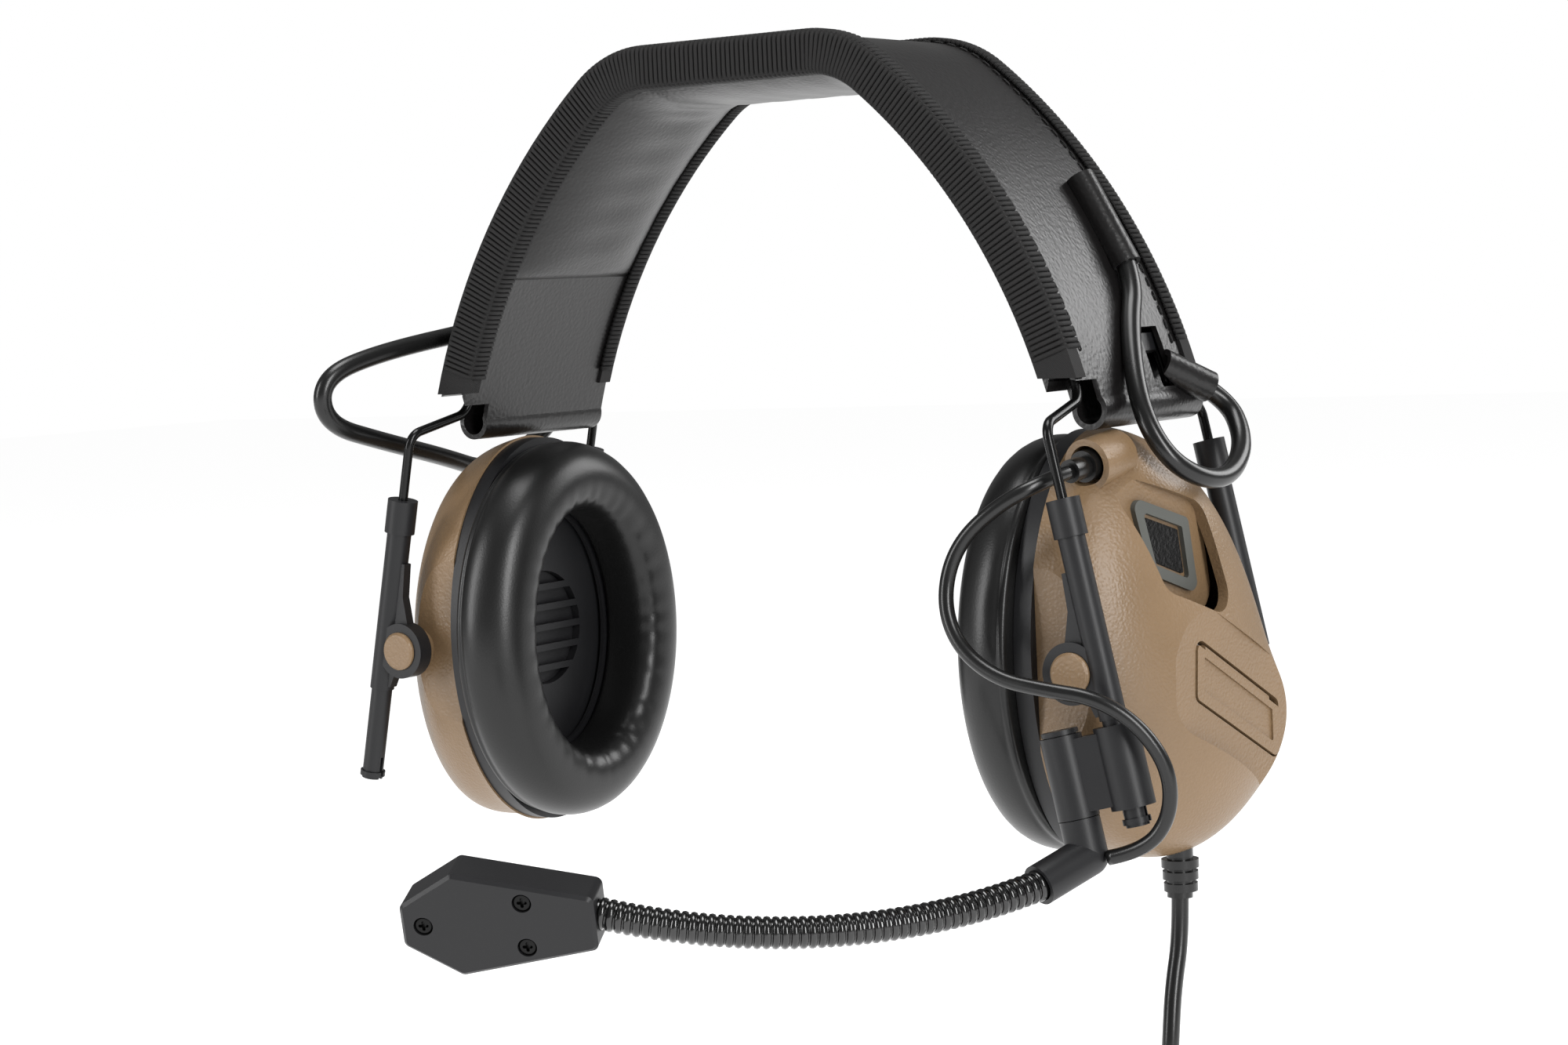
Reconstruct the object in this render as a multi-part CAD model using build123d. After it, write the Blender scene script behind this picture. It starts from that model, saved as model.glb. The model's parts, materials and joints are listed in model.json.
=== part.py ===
"""Radio headset: padded headband on two spring wires, two ear cups, a boom microphone and a down-lead.

Frame: millimetres, +X to the wearer's left, +Y to the back of the head, +Z up.
The origin is on the underside of the headband at the crown of the head.
"""
from build123d import *
import math
import os

os.makedirs("parts", exist_ok=True)

# ---------------------------------------------------------------- driving sizes
# headband
BAND_FRONT_Y = -23.2
BAND_REAR_Y = 32.0
BAND_THICK = 7.5
BAND_FLAT = 22.5
SHOULDER_R = 27.0
SHOULDER_TURN = 40.0
SIDE_R = 148.0
SIDE_TURN = 74.0
BAND_TAIL = 4.6
PLY = 1.2
EDGE_SEAM = 2.5
LOOP_FRONT_Y = -14.0
LOOP_R = 4.2
MOUTH_Z = -69.5
FOAM_END_Z = -58.0
TUNNEL_MOUTH = 62.0
KEEPER_TOP = (85.0, 19.5, -68.5)
KEEPER_MOUTH = (91.5, 29.5, -74.2)
# spring wires
WIRE_R = 1.1
FRONT_WIRE_Y = -17.0
REAR_WIRE_Y = 25.0
WIRE_DEPTH = BAND_THICK / 2
# arms
ARM_Y = 36.0
SPLAY = 12.3
ARM_TOP = (89.4, -94.0)
REAR_ARM_RISE = 7.5
FERRULE_R = 3.6
FERRULE_LEN = 8.0
TUBE_R = 2.9
POST_R = 2.5
BORE_R = 1.2
WIRE_GRIP = 30.0
# tilt trunnions
TRUNNION_X = 91.0
TRUNNION_Z = -130.1
BUTTON_R = 4.5
BUTTON_FACE_Y = 39.5
FLAT_Y = 31.0
RING_CLEARANCE = 0.05
# cup
CUP_BACK_X = 79.0
WALL = 2.2
CUP_CENTRE_Z = -128.5
CUP_SECTIONS = [
    (79.0, 0.0, -128.5, 34.0, 47.5),
    (86.0, 0.0, -129.0, 33.5, 46.0),
    (93.0, 0.5, -131.0, 30.5, 43.5),
    (99.0, 3.0, -134.0, 26.5, 38.0),
    (104.0, 7.0, -140.0, 22.0, 27.0),
    (108.0, 11.0, -145.0, 17.0, 15.0),
    (110.5, 13.0, -147.0, 10.0, 7.0),
]
CUSHION_RY = 38.0
CUSHION_RZ = 46.0
CUSHION_Z = -128.5
CUSHION_INNER_X = 59.5
PLATE_FACE_X = 74.8
EAR_RY = 21.0
EAR_RZ = 29.0
# boom
CLAMP_TOP = 47.7
CLAMP_LEN = 17.3
CLAMP_OFFSET = (-11.5, -3.0)
GOOSENECK_R = 3.35
# cords
MIC_CORD_R = 1.6
LOOP_CORD_R = 2.2
LEAD_R = 1.9

BAND_Y = (BAND_FRONT_Y + BAND_REAR_Y) / 2
BAND_WIDTH = BAND_REAR_Y - BAND_FRONT_Y


def save(shape, name):
    """Write one node."""
    export_step(shape, f"parts/{name}.step")


def group(*shapes):
    """Several solids in one node."""
    solids = []
    for shape in shapes:
        solids.extend(shape.solids())
    return Compound(children=[Compound(solids)])


def mirrored(shape):
    """The same shape for the other side of the head."""
    return mirror(shape, about=Plane.YZ)


def radial(centre, radius, degrees):
    """Point on a circle in the XZ plane, at an angle from +Z towards +X."""
    angle = math.radians(degrees)
    return centre[0] + radius * math.sin(angle), centre[1] + radius * math.cos(angle)


SHOULDER_C = (BAND_FLAT, BAND_THICK - SHOULDER_R)
SIDE_C = radial(SHOULDER_C, SHOULDER_R - SIDE_R, SHOULDER_TURN)
TAIL_DIR = (math.cos(math.radians(SIDE_TURN)), -math.sin(math.radians(SIDE_TURN)))


def tail_point(depth, run=BAND_TAIL):
    """Where the band's side ends, at a depth below its outer face."""
    x, z = radial(SIDE_C, SIDE_R - depth, SIDE_TURN)
    return x + run * TAIL_DIR[0], z + run * TAIL_DIR[1]


def band_line(depth, run=BAND_TAIL):
    """Edges of the band's curve at a depth, from the left end over the crown to the right end."""
    right = [
        (0.0, BAND_THICK - depth),
        (BAND_FLAT, BAND_THICK - depth),
        radial(SHOULDER_C, SHOULDER_R - depth, SHOULDER_TURN / 2),
        radial(SHOULDER_C, SHOULDER_R - depth, SHOULDER_TURN),
        radial(SIDE_C, SIDE_R - depth, (SHOULDER_TURN + SIDE_TURN) / 2),
        radial(SIDE_C, SIDE_R - depth, SIDE_TURN),
        tail_point(depth, run),
    ]
    left = [(-x, z) for x, z in right]
    return [
        Line(left[6], left[5]),
        ThreePointArc(left[5], left[4], left[3]),
        ThreePointArc(left[3], left[2], left[1]),
        Line(left[1], right[1]),
        ThreePointArc(right[1], right[2], right[3]),
        ThreePointArc(right[3], right[4], right[5]),
        Line(right[5], right[6]),
    ]


def band_slab(outer, inner, y_low, y_high, run=BAND_TAIL):
    """Solid between two depths of the band, over a stretch of its width."""
    outside = band_line(outer, run)
    inside = band_line(inner, run)
    ends = [
        Line(outside[0] @ 0, inside[0] @ 0),
        Line(outside[-1] @ 1, inside[-1] @ 1),
    ]
    face = make_face(Wire(Curve() + outside + inside + ends).edges())
    placed = Plane(origin=(0, y_high, 0), x_dir=(1, 0, 0), z_dir=(0, -1, 0)) * face
    return extrude(placed, amount=y_high - y_low)


def rod(start, end, radius):
    """Round bar between two points."""
    line = Vector(*end) - Vector(*start)
    return extrude(Plane(origin=start, z_dir=line) * Circle(radius), amount=line.length)


def tube_along(path, radius):
    """Round bar along a smooth path."""
    return sweep(Plane(origin=path @ 0, z_dir=path % 0) * Circle(radius), path=path)


def route_radii(points, limit=None):
    """Arc radius at each inner point of a route: as large as its two runs allow."""
    radii = []
    for before, here, after in zip(points, points[1:], points[2:]):
        first = Vector(*here) - Vector(*before)
        second = Vector(*after) - Vector(*here)
        turn = math.radians(first.get_angle(second))
        radius = 0.45 * min(first.length, second.length) / math.tan(turn / 2)
        radii.append(min(radius, limit) if limit else radius)
    return radii


def cord_tube(points, radius, name):
    """A cord's solid: straight runs joined by tangent arcs."""
    radii = route_radii(points)
    path = FilletPolyline(*points, radius=radii)
    solid = tube_along(path, radius)
    expected = math.pi * radius**2 * path.length
    print(f"{name}: length {path.length:.0f}, radii {[round(r) for r in radii]},",
          f"volume ratio {solid.volume / expected:.3f}")
    return solid


# ---------------------------------------------------------------- headband
def loop_cylinder(radius, y_low, y_high, side):
    """Round bottom of the leather loop at one end of the band."""
    x, z = tail_point(BAND_THICK / 2)
    return rod((side * x, y_low, z), (side * x, y_high, z), radius)


def band_cover():
    """Leather sleeve with an open loop at each end and a cable slot in each side."""
    cover = band_slab(0, BAND_THICK, BAND_FRONT_Y, BAND_REAR_Y)
    inside = band_slab(PLY, BAND_THICK - PLY, BAND_FRONT_Y + EDGE_SEAM, BAND_REAR_Y - EDGE_SEAM)
    for side in (-1, 1):
        cover += loop_cylinder(LOOP_R, BAND_FRONT_Y, BAND_REAR_Y, side)
    cover -= inside
    x, z = tail_point(BAND_THICK / 2)
    mouth_depth = 8.0
    for side in (-1, 1):
        cover -= loop_cylinder(LOOP_R - PLY, BAND_FRONT_Y - 1, BAND_REAR_Y + 1, side)
        end = Location((side * x, BAND_FRONT_Y, z), (0, side * (90 - SIDE_TURN), 0))
        cover -= end * Box(2 * LOOP_R + 4, 2 * (LOOP_FRONT_Y - BAND_FRONT_Y), 14)
        through = Box(BAND_THICK - 2 * PLY, 2 * BAND_WIDTH, mouth_depth)
        lifted = Location((side * x, BAND_Y, z), (0, -side * (90 - SIDE_TURN), 0))
        cover -= lifted * Pos(0, 0, mouth_depth / 2) * through
        cover -= slot_cutter(side)
    return cover


def slot_cutter(side):
    """Long slot in the outer ply, beside the cable."""
    x, z = tail_point(0, run=-5.0)
    slot = Box(6, 9, 14)
    return Location((side * x, 16.5, z), (0, -side * (90 - SIDE_TURN), 0)) * slot


def wire_path(y, arm_y, rise):
    """Centre line of a spring wire from the left arm over the crown to the right arm."""
    tail = tail_point(WIRE_DEPTH, run=2.0)
    side_mid = (SHOULDER_TURN + SIDE_TURN) / 2
    side_half = math.radians((SIDE_TURN - SHOULDER_TURN) / 2)
    side_knee = radial(SIDE_C, (SIDE_R - WIRE_DEPTH) / math.cos(side_half), side_mid)
    shoulder_half = math.radians(SHOULDER_TURN / 2)
    shoulder_knee = radial(SHOULDER_C, (SHOULDER_R - WIRE_DEPTH) / math.cos(shoulder_half), SHOULDER_TURN / 2)
    bend_drop = 15.4
    splay = math.tan(math.radians(SPLAY))
    bend = (ARM_TOP[0] - bend_drop * splay, arm_y, ARM_TOP[1] + bend_drop)
    grip = WIRE_GRIP * math.cos(math.radians(SPLAY)) - rise
    end = (ARM_TOP[0] + grip * splay, arm_y, ARM_TOP[1] - grip)
    left = [end, bend, (tail[0], y, tail[1]), (side_knee[0], y, side_knee[1]), (shoulder_knee[0], y, shoulder_knee[1])]
    right = [(-px, py, pz) for px, py, pz in reversed(left)]
    radii = [4.0, 4.0, SIDE_R - WIRE_DEPTH - 1.0, SHOULDER_R - WIRE_DEPTH]
    return FilletPolyline(*left, *right, radius=radii + radii[::-1])


def spring_wire(y, arm_y, rise, radius=WIRE_R):
    """Sprung steel wire that carries both cups."""
    return tube_along(wire_path(y, arm_y, rise), radius)


def edge_binding(y_low, y_high):
    """Ribbed tape folded over one long edge of the sleeve."""
    skin = 0.7
    outer = band_slab(-skin, BAND_THICK + skin, y_low, y_high)
    below_mouth = Pos(0, 0, MOUTH_Z - 50) * Box(300, 200, 100)
    return outer - band_slab(0, BAND_THICK, BAND_FRONT_Y, BAND_REAR_Y, run=BAND_TAIL + 5) - below_mouth


def cable_tunnel(side, cord):
    """Raised leather pocket that the looped cable goes into."""
    start = outer_point(TUNNEL_MOUTH - 23.0, 1.9)
    end = outer_point(TUNNEL_MOUTH, 2.2)
    body = rod((side * start[0], 17.0, start[1]), (side * end[0], 15.0, end[1]), 3.4)
    return largest(body - cord - band_slab(0, BAND_THICK, BAND_FRONT_Y, BAND_REAR_Y))


def cable_keeper():
    """Leather tube at the rear corner of the band's left end."""
    body = rod(KEEPER_TOP, KEEPER_MOUTH, 3.6) - rod(KEEPER_TOP, KEEPER_MOUTH, LOOP_CORD_R + 0.1)
    body -= loop_cylinder(LOOP_R, BAND_FRONT_Y, BAND_REAR_Y, 1)
    return largest(body - band_slab(0, BAND_THICK, BAND_FRONT_Y, BAND_REAR_Y))


def outer_point(arc_length, stand_off):
    """Point above the band's outer face, a length along the side arc from the shoulder."""
    angle = SHOULDER_TURN + math.degrees(arc_length / SIDE_R)
    return radial(SIDE_C, SIDE_R + stand_off, angle)


def largest(shape):
    """The biggest solid of a shape."""
    return max(shape.solids(), key=lambda solid: solid.volume)


def wire_spacers(wires):
    """Plastic clips that hold the two wires apart near the band's ends."""
    pieces = []
    for side in (-1, 1):
        x, z = tail_point(BAND_THICK / 2, run=-9.0)
        length = REAR_WIRE_Y - FRONT_WIRE_Y
        bar = Box(3.0, length, 4.0)
        tilt = (0, -side * (90 - SIDE_TURN), 0)
        bar = Location((side * x, (REAR_WIRE_Y + FRONT_WIRE_Y) / 2, z), tilt) * bar
        for wire in wires:
            bar -= wire
        pieces.append(largest(bar))
    return pieces


def band_foam():
    """Foam pad inside the sleeve, with a channel for each wire."""
    foam = band_slab(PLY, BAND_THICK - PLY, BAND_FRONT_Y + EDGE_SEAM, BAND_REAR_Y - EDGE_SEAM)
    foam -= Pos(0, 0, FOAM_END_Z - 50) * Box(300, 200, 100)
    for y, arm_y, rise in ((FRONT_WIRE_Y, -ARM_Y, 0.0), (REAR_WIRE_Y, ARM_Y, REAR_ARM_RISE)):
        foam -= spring_wire(y, arm_y, rise, WIRE_R + 0.05)
    return foam


# ---------------------------------------------------------------- arms
def on_arm(shape, y, rise=0.0):
    """Place a shape made with the arm's axis on Z and the ferrule's top at the origin."""
    shift = rise * math.tan(math.radians(SPLAY))
    return Location((ARM_TOP[0] - shift, y, ARM_TOP[1] + rise), (0, -SPLAY, 0)) * shape


def upright(radius, top, bottom, x=0.0, y=0.0):
    """Cylinder on the arm's own axis, between two depths below the ferrule's top."""
    return Pos(x, y, -(top + bottom) / 2) * Cylinder(radius, bottom - top)


def hub_place(rise):
    """The trunnion's offset from the arm's axis, and its depth below the ferrule's top."""
    angle = math.radians(SPLAY)
    across = TRUNNION_X - ARM_TOP[0] + rise * math.tan(angle)
    down = ARM_TOP[1] + rise - TRUNNION_Z
    return down * math.sin(angle) - across * math.cos(angle), down * math.cos(angle) + across * math.sin(angle)


def hub_ring(offset, depth, facing):
    """Clip that turns on the cup's button, and the bore through it."""
    ring = Pos(-offset, facing * 0.5, -depth) * Rot(90, 0, 0) * Cylinder(6.6, 4.0)
    return ring, Pos(-offset, 0, -depth) * Rot(90, 0, 0) * Cylinder(BUTTON_R + RING_CLEARANCE, 30)


def side_web(top, bottom, depth):
    """Flat web between the tube and the clip."""
    with BuildSketch(Plane.XZ) as sketch:
        with BuildLine():
            Polyline((0, -top), (-3.6, -top), (-4.2, -top - 8), (-9.0, -depth), (-4.2, -bottom + 3),
                     (-3.4, -bottom), (0, -bottom), close=True)
        make_face()
    return extrude(sketch.sketch, amount=1.2, both=True)


def arm(front):
    """One side arm: a tube for the wire, a web and a clip for the cup."""
    rise = 0.0 if front else REAR_ARM_RISE
    facing = -1 if front else 1
    hub_offset, depth = hub_place(rise)
    bottom = 46.5 if front else depth + 4.5
    body = upright(TUBE_R, FERRULE_LEN, bottom)
    ring, bore = hub_ring(hub_offset, depth, facing)
    body += ring
    body += side_web(15.0, bottom - 1.0, depth)
    if front:
        body += upright(POST_R, bottom, 62.0)
        body += upright(POST_R + 0.5, 67.2, 68.4) + upright(POST_R, 62.0, 69.0)
        body -= Pos(0, 0, -66.5) * Box(8, 0.9, 6.0)
    body -= bore
    body -= upright(BORE_R, 0, 52.0 if front else bottom - 3.0)
    return on_arm(body, facing * ARM_Y, rise)


def ferrules():
    """Collars that grip the two wires at the top of the arms."""
    collar = upright(FERRULE_R, 0, FERRULE_LEN) - upright(BORE_R, -1, FERRULE_LEN + 1)
    return [on_arm(collar, -ARM_Y), on_arm(collar, ARM_Y, REAR_ARM_RISE)]


# ---------------------------------------------------------------- cups
def ellipse_at(x, y, z, ry, rz):
    """Elliptical face across the cup's depth."""
    return Plane(origin=(x, y, z), x_dir=(0, 1, 0), z_dir=(1, 0, 0)) * Ellipse(ry, rz)


def ellipse_slab(x_low, x_high, ry, rz, z=CUP_CENTRE_Z):
    """Flat elliptical plate across the cup."""
    return extrude(ellipse_at(x_low, 0, z, ry, rz), amount=x_high - x_low)


def cup_form(inset):
    """The cup's domed form, moved inwards by an inset."""
    form = loft([ellipse_at(x - inset, y, z, ry - inset, rz - inset) for x, y, z, ry, rz in CUP_SECTIONS])
    return form & Pos(90, 0, -130) * Box(80, 2 * (FLAT_Y - inset), 140)


WINDOW_PLANE = Plane(origin=(95.5, -3.5, -106.5), x_dir=(0.242, 0.97, 0), z_dir=(0.97, -0.242, 0))
WINDOW_OUTLINE = [(-11.0, 11.3), (7.0, 5.3), (9.7, -11.5), (-5.6, -5.8)]
DOOR_PLANE = Plane(origin=(106.3, 8.5, -140.5), x_dir=(0.122, 0.9925, 0), z_dir=(0.9925, -0.122, 0))
DOOR_OUTLINE = [(-15.5, 14.5), (15.5, -3.0), (15.5, -16.0), (-16.5, 1.5)]
DOOR_SLOPE = math.degrees(math.atan2(DOOR_OUTLINE[1][1] - DOOR_OUTLINE[0][1], DOOR_OUTLINE[1][0] - DOOR_OUTLINE[0][0]))


def prism(plane, outline, grow, low, high, corner=1.8):
    """Rounded polygon on a plane, grown by an amount and extruded between two heights."""
    face = make_face(Polyline(*outline, close=True).edges())
    face = fillet(face.vertices(), corner)
    if grow:
        face = offset(face, amount=grow)
    return plane * Pos(0, 0, low) * extrude(face, amount=high - low)


def along_door(shape, s, w, height):
    """Place a shape made along X on the door's plane, along the ridge."""
    return DOOR_PLANE * Pos(s, w, height) * Rot(0, 0, DOOR_SLOPE) * shape


HINGE_S = 0.0
HINGE_W = (DOOR_OUTLINE[0][1] + DOOR_OUTLINE[1][1]) / 2
HINGE_INSET = 1.15
HINGE_H = -0.85
BARREL_R = 1.15


def hinge_spot():
    """Middle of the battery door's hinge on the door's plane."""
    angle = math.radians(DOOR_SLOPE)
    return HINGE_S + HINGE_INSET * math.sin(angle), HINGE_W - HINGE_INSET * math.cos(angle)


def hinge_cylinder(radius, length):
    """Cylinder on the battery door's hinge axis."""
    return along_door(Rot(0, 90, 0) * Cylinder(radius, length), *hinge_spot(), HINGE_H)


BATTERY_R = 5.25
BATTERY_LEN = 44.5
BATTERY_DEPTH = -10.9


def battery_bar(radius, length):
    """Bar on the battery's axis."""
    return along_door(Rot(0, 90, 0) * Cylinder(radius, length), -5.0, 0.2, BATTERY_DEPTH)


def shell(left):
    """Tan outer shell of a cup with its window, battery bay and button seats."""
    body = cup_form(0) - cup_form(WALL)
    facets = prism(WINDOW_PLANE, WINDOW_OUTLINE, 5.5, -WALL, 0, corner=1.0)
    facets += prism(DOOR_PLANE, DOOR_OUTLINE, 9.5, -WALL, 0, corner=1.0)
    body += facets & cup_form(0)
    body += prism(WINDOW_PLANE, WINDOW_OUTLINE, 1.0, -6.0, 0) & cup_form(0)
    body += prism(DOOR_PLANE, DOOR_OUTLINE, 2.0, -5.0, 0) & cup_form(0)
    body -= prism(DOOR_PLANE, DOOR_OUTLINE, 8.0, 0, 20, corner=1.0)
    body -= prism(WINDOW_PLANE, WINDOW_OUTLINE, 4.0, 0, 20, corner=1.0)
    body -= prism(WINDOW_PLANE, WINDOW_OUTLINE, -3.0, -9, 1, corner=3.5)
    body -= prism(DOOR_PLANE, DOOR_OUTLINE, 0.35, -3.6, 1, corner=1.8)
    body -= prism(DOOR_PLANE, DOOR_OUTLINE, -2.4, -9, 1, corner=3.0)
    body -= hinge_cylinder(PIN_R, 34.0)
    body -= battery_bar(BATTERY_R + 0.1, BATTERY_LEN + 0.4)
    for facing in (-1, 1):
        body -= button_stub(facing)
    if left:
        body += jack_well(5.6, 0) & (cup_form(0) + jack_well(5.6, 0, 2.0))
        body -= jack_well(4.2, 1.5, 6.0)
        body -= rod(GLAND_TOP, (94.0, 2.0, -177.0), 3.0)
        for place in KEY_PLACES:
            body -= key_body(place, 0.25, FLAT_Y - 8.0, FLAT_Y + 8.0)
    return largest(body)


PIN_R = 0.5
GLAND_TOP = (94.0, 2.0, -166.0)
GLAND_EXIT = (94.0, 2.0, -175.0)
GLAND_END = (94.0, 1.4, -184.0)
JACK_MOUTH = Vector(86.5, -19.5, -88.2)
JACK_DIR = Vector(-0.11, -0.985, -0.13).normalized()
KEY_PLACES = [(-113.0, 83.5), (-120.3, 83.5), (-143.0, 83.5)]
KEY_SIZE = 6.0


def jack_well(radius, back, front=0.0):
    """Round well whose open end faces forwards, where the microphone cord plugs in."""
    start = JACK_MOUTH - JACK_DIR * (11 - back)
    end = JACK_MOUTH + JACK_DIR * front
    return rod(tuple(start), tuple(end), radius)


def button_stub(facing):
    """Pin of a tilt button in the shell's wall."""
    return rod((TRUNNION_X, facing * (FLAT_Y - 3.0), TRUNNION_Z), (TRUNNION_X, facing * FLAT_Y, TRUNNION_Z), 2.4)


def trunnion_buttons():
    """Tan buttons on which the arms' clips turn."""
    pieces = []
    for facing in (-1, 1):
        head = rod((TRUNNION_X, facing * FLAT_Y, TRUNNION_Z), (TRUNNION_X, facing * BUTTON_FACE_Y, TRUNNION_Z), BUTTON_R)
        head = chamfer(head.edges().filter_by(GeomType.CIRCLE).sort_by(Axis.Y)[0 if facing < 0 else -1], 0.5)
        pieces.append(head + button_stub(facing))
    return pieces


def key_body(place, gap, y_low, y_high):
    """Square block on the cup's rear flat, for a control key or its hole."""
    z, x = place
    size = KEY_SIZE + 2 * gap
    return Pos(x, (y_low + y_high) / 2, z) * Box(size, y_high - y_low, size)


def key(place):
    """Rubber control key that stands 1.4 mm proud and travels 1 mm."""
    cap = key_body(place, 0, FLAT_Y - WALL - 1.0, FLAT_Y + 1.4)
    return fillet(cap.edges().filter_by(Axis.Y), 1.5)


def baffle():
    """Plate that closes the cup's back and holds the speaker."""
    plate = ellipse_slab(CUP_BACK_X - 2.0, CUP_BACK_X, 32.5, 46.0)
    plate += ellipse_slab(CUP_BACK_X, CUP_BACK_X + 1.5, 31.0 - 0.1 - WALL, 44.0)
    plate = plate & Pos(90, 0, -130) * Box(80, 2 * (FLAT_Y + 1.5), 140)
    inner = Pos(90, 0, -130) * Box(80, 2 * (FLAT_Y - WALL - 0.1), 140)
    plate = (plate & inner) + (plate & Pos(CUP_BACK_X - 1, 0, -130) * Box(2, 90, 140))
    speaker_hole = rod((CUP_BACK_X - 3, 0, CUP_CENTRE_Z), (CUP_BACK_X + 2, 0, CUP_CENTRE_Z), 14.0)
    plate -= speaker_hole
    plate += grille_bars()
    for y, z in SCREW_SPOTS:
        plate -= rod((CUP_BACK_X - 3, y, z), (CUP_BACK_X + 3, y, z), 1.3)
    return plate


SCREW_SPOTS = [(-22.0, -99.0), (22.0, -99.0), (-22.0, -158.0), (22.0, -158.0)]


def grille_bars():
    """Bars across the speaker hole."""
    bars = []
    for step in range(-2, 3):
        bars.append(Pos(CUP_BACK_X - 1.4, 0, CUP_CENTRE_Z + 5.0 * step) * Box(1.2, 29.0, 1.6))
    return bars


def baffle_screws():
    """Four screws of the baffle."""
    pieces = []
    for y, z in SCREW_SPOTS:
        head = rod((CUP_BACK_X - 3.2, y, z), (CUP_BACK_X - 2.0, y, z), 2.4)
        pieces.append(head + rod((CUP_BACK_X - 2.0, y, z), (CUP_BACK_X + 1.5, y, z), 1.3))
    return pieces


def speaker():
    """Speaker driver behind the baffle's grille."""
    body = rod((CUP_BACK_X + 0.1, 0, CUP_CENTRE_Z), (CUP_BACK_X + 3.0, 0, CUP_CENTRE_Z), 13.9)
    body += rod((CUP_BACK_X + 3.0, 0, CUP_CENTRE_Z), (CUP_BACK_X + 6.5, 0, CUP_CENTRE_Z), 8.0)
    return body


def cushion_plate():
    """Black carrier ring between the shell and the cushion."""
    plate = ellipse_slab(PLATE_FACE_X, CUP_BACK_X - 2.0, 33.5, 47.0)
    lip = ellipse_slab(CUP_BACK_X - 2.0, CUP_BACK_X, 33.5, 47.0) - ellipse_slab(70, 90, 32.6, 46.1)
    plate += lip
    plate = plate - ellipse_slab(70, 90, EAR_RY + 6.5, EAR_RZ + 6.5) + ellipse_ring_floor()
    for y, z in SCREW_SPOTS:
        plate -= rod((CUP_BACK_X - 3.3, y, z), (CUP_BACK_X - 1, y, z), 2.5)
    return plate


def ellipse_ring_floor():
    """Inner flange of the carrier ring."""
    floor = ellipse_slab(PLATE_FACE_X, PLATE_FACE_X + 1.0, EAR_RY + 6.6, EAR_RZ + 6.6)
    return floor - ellipse_slab(70, 90, EAR_RY, EAR_RZ)


def cushion():
    """Leather covered foam ring, plain."""
    outer = loft([
        ellipse_at(PLATE_FACE_X, 0, CUSHION_Z, CUSHION_RY - 3.5, CUSHION_RZ - 2.5),
        ellipse_at(PLATE_FACE_X - 5.5, 0, CUSHION_Z, CUSHION_RY, CUSHION_RZ),
        ellipse_at(CUSHION_INNER_X + 3.5, 0, CUSHION_Z, CUSHION_RY - 2.5, CUSHION_RZ - 2.5),
        ellipse_at(CUSHION_INNER_X, 0, CUSHION_Z, CUSHION_RY - 9.0, CUSHION_RZ - 9.0),
    ])
    return outer - ellipse_slab(50, 90, EAR_RY, EAR_RZ, CUSHION_Z)


def window_bezel():
    """Grey frame around the window."""
    return prism(WINDOW_PLANE, WINDOW_OUTLINE, 0, 0, 1.3) - prism(WINDOW_PLANE, WINDOW_OUTLINE, -2.3, -1, 3, corner=3.0)


def window_foam():
    """Black foam that shields the outside microphone."""
    return prism(WINDOW_PLANE, WINDOW_OUTLINE, -3.1, -5.0, 0.6, corner=3.5)


def battery_door():
    """Ridge panel that covers the battery, with its hinge barrel."""
    plate = prism(DOOR_PLANE, DOOR_OUTLINE, -0.1, -2.0, 0.3)
    plate -= prism(DOOR_PLANE, DOOR_OUTLINE, -2.6, -0.2, 1, corner=3.0)
    beyond_axis = along_door(Pos(0, HINGE_INSET, 0) * Box(50, 2 * HINGE_INSET, 8), *hinge_spot(), HINGE_H)
    plate = plate - beyond_axis + hinge_cylinder(BARREL_R, 28.0)
    return plate - hinge_cylinder(PIN_R + 0.05, 40.0)


def door_pin():
    """Steel pin of the battery door."""
    return hinge_cylinder(PIN_R, 33.0)


def battery():
    """Size AAA cell under the ridge panel."""
    return battery_bar(BATTERY_R, BATTERY_LEN - 1.0) + battery_bar(1.9, BATTERY_LEN)


def circuit_board():
    """Board of the radio adapter, behind the rear keys."""
    return Pos(86.5, 22.5, -126.0) * Box(8.0, 1.6, 30.0)


# ---------------------------------------------------------------- boom
def arm_point(x, y, depth):
    """World place of a point in the left front arm's frame."""
    angle = math.radians(SPLAY)
    return (
        ARM_TOP[0] + x * math.cos(angle) + depth * math.sin(angle),
        -ARM_Y + y,
        ARM_TOP[1] + x * math.sin(angle) - depth * math.cos(angle),
    )


ELBOW_R = 4.3
ELBOW_PIN_R = 3.2
ELBOW_DEPTH = 73.0
ELBOW_CORNER = arm_point(CLAMP_OFFSET[0], CLAMP_OFFSET[1], ELBOW_DEPTH)
ELBOW_END = (88.9, -51.5, -172.0)
GOOSENECK_MID = (55.0, -94.0, -176.0)
GOOSENECK_END = (24.0, -114.0, -170.5)
MIC_AXIS = (-0.916, -0.400, 0.0)
MIC_NORMAL = (0.384, -0.881, -0.276)
MIC_OUTLINE = [(0, -5.8), (28.6, -11.3), (40.0, -4.4), (40.0, 4.4), (28.6, 11.3), (0, 5.8)]
MIC_DEPTH = 10.0
MIC_SCREWS = [(14.5, 4.9), (14.5, -4.9), (35.4, 0.0)]
MIC_PLANE = Plane(origin=GOOSENECK_END, x_dir=MIC_AXIS, z_dir=MIC_NORMAL)


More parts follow.
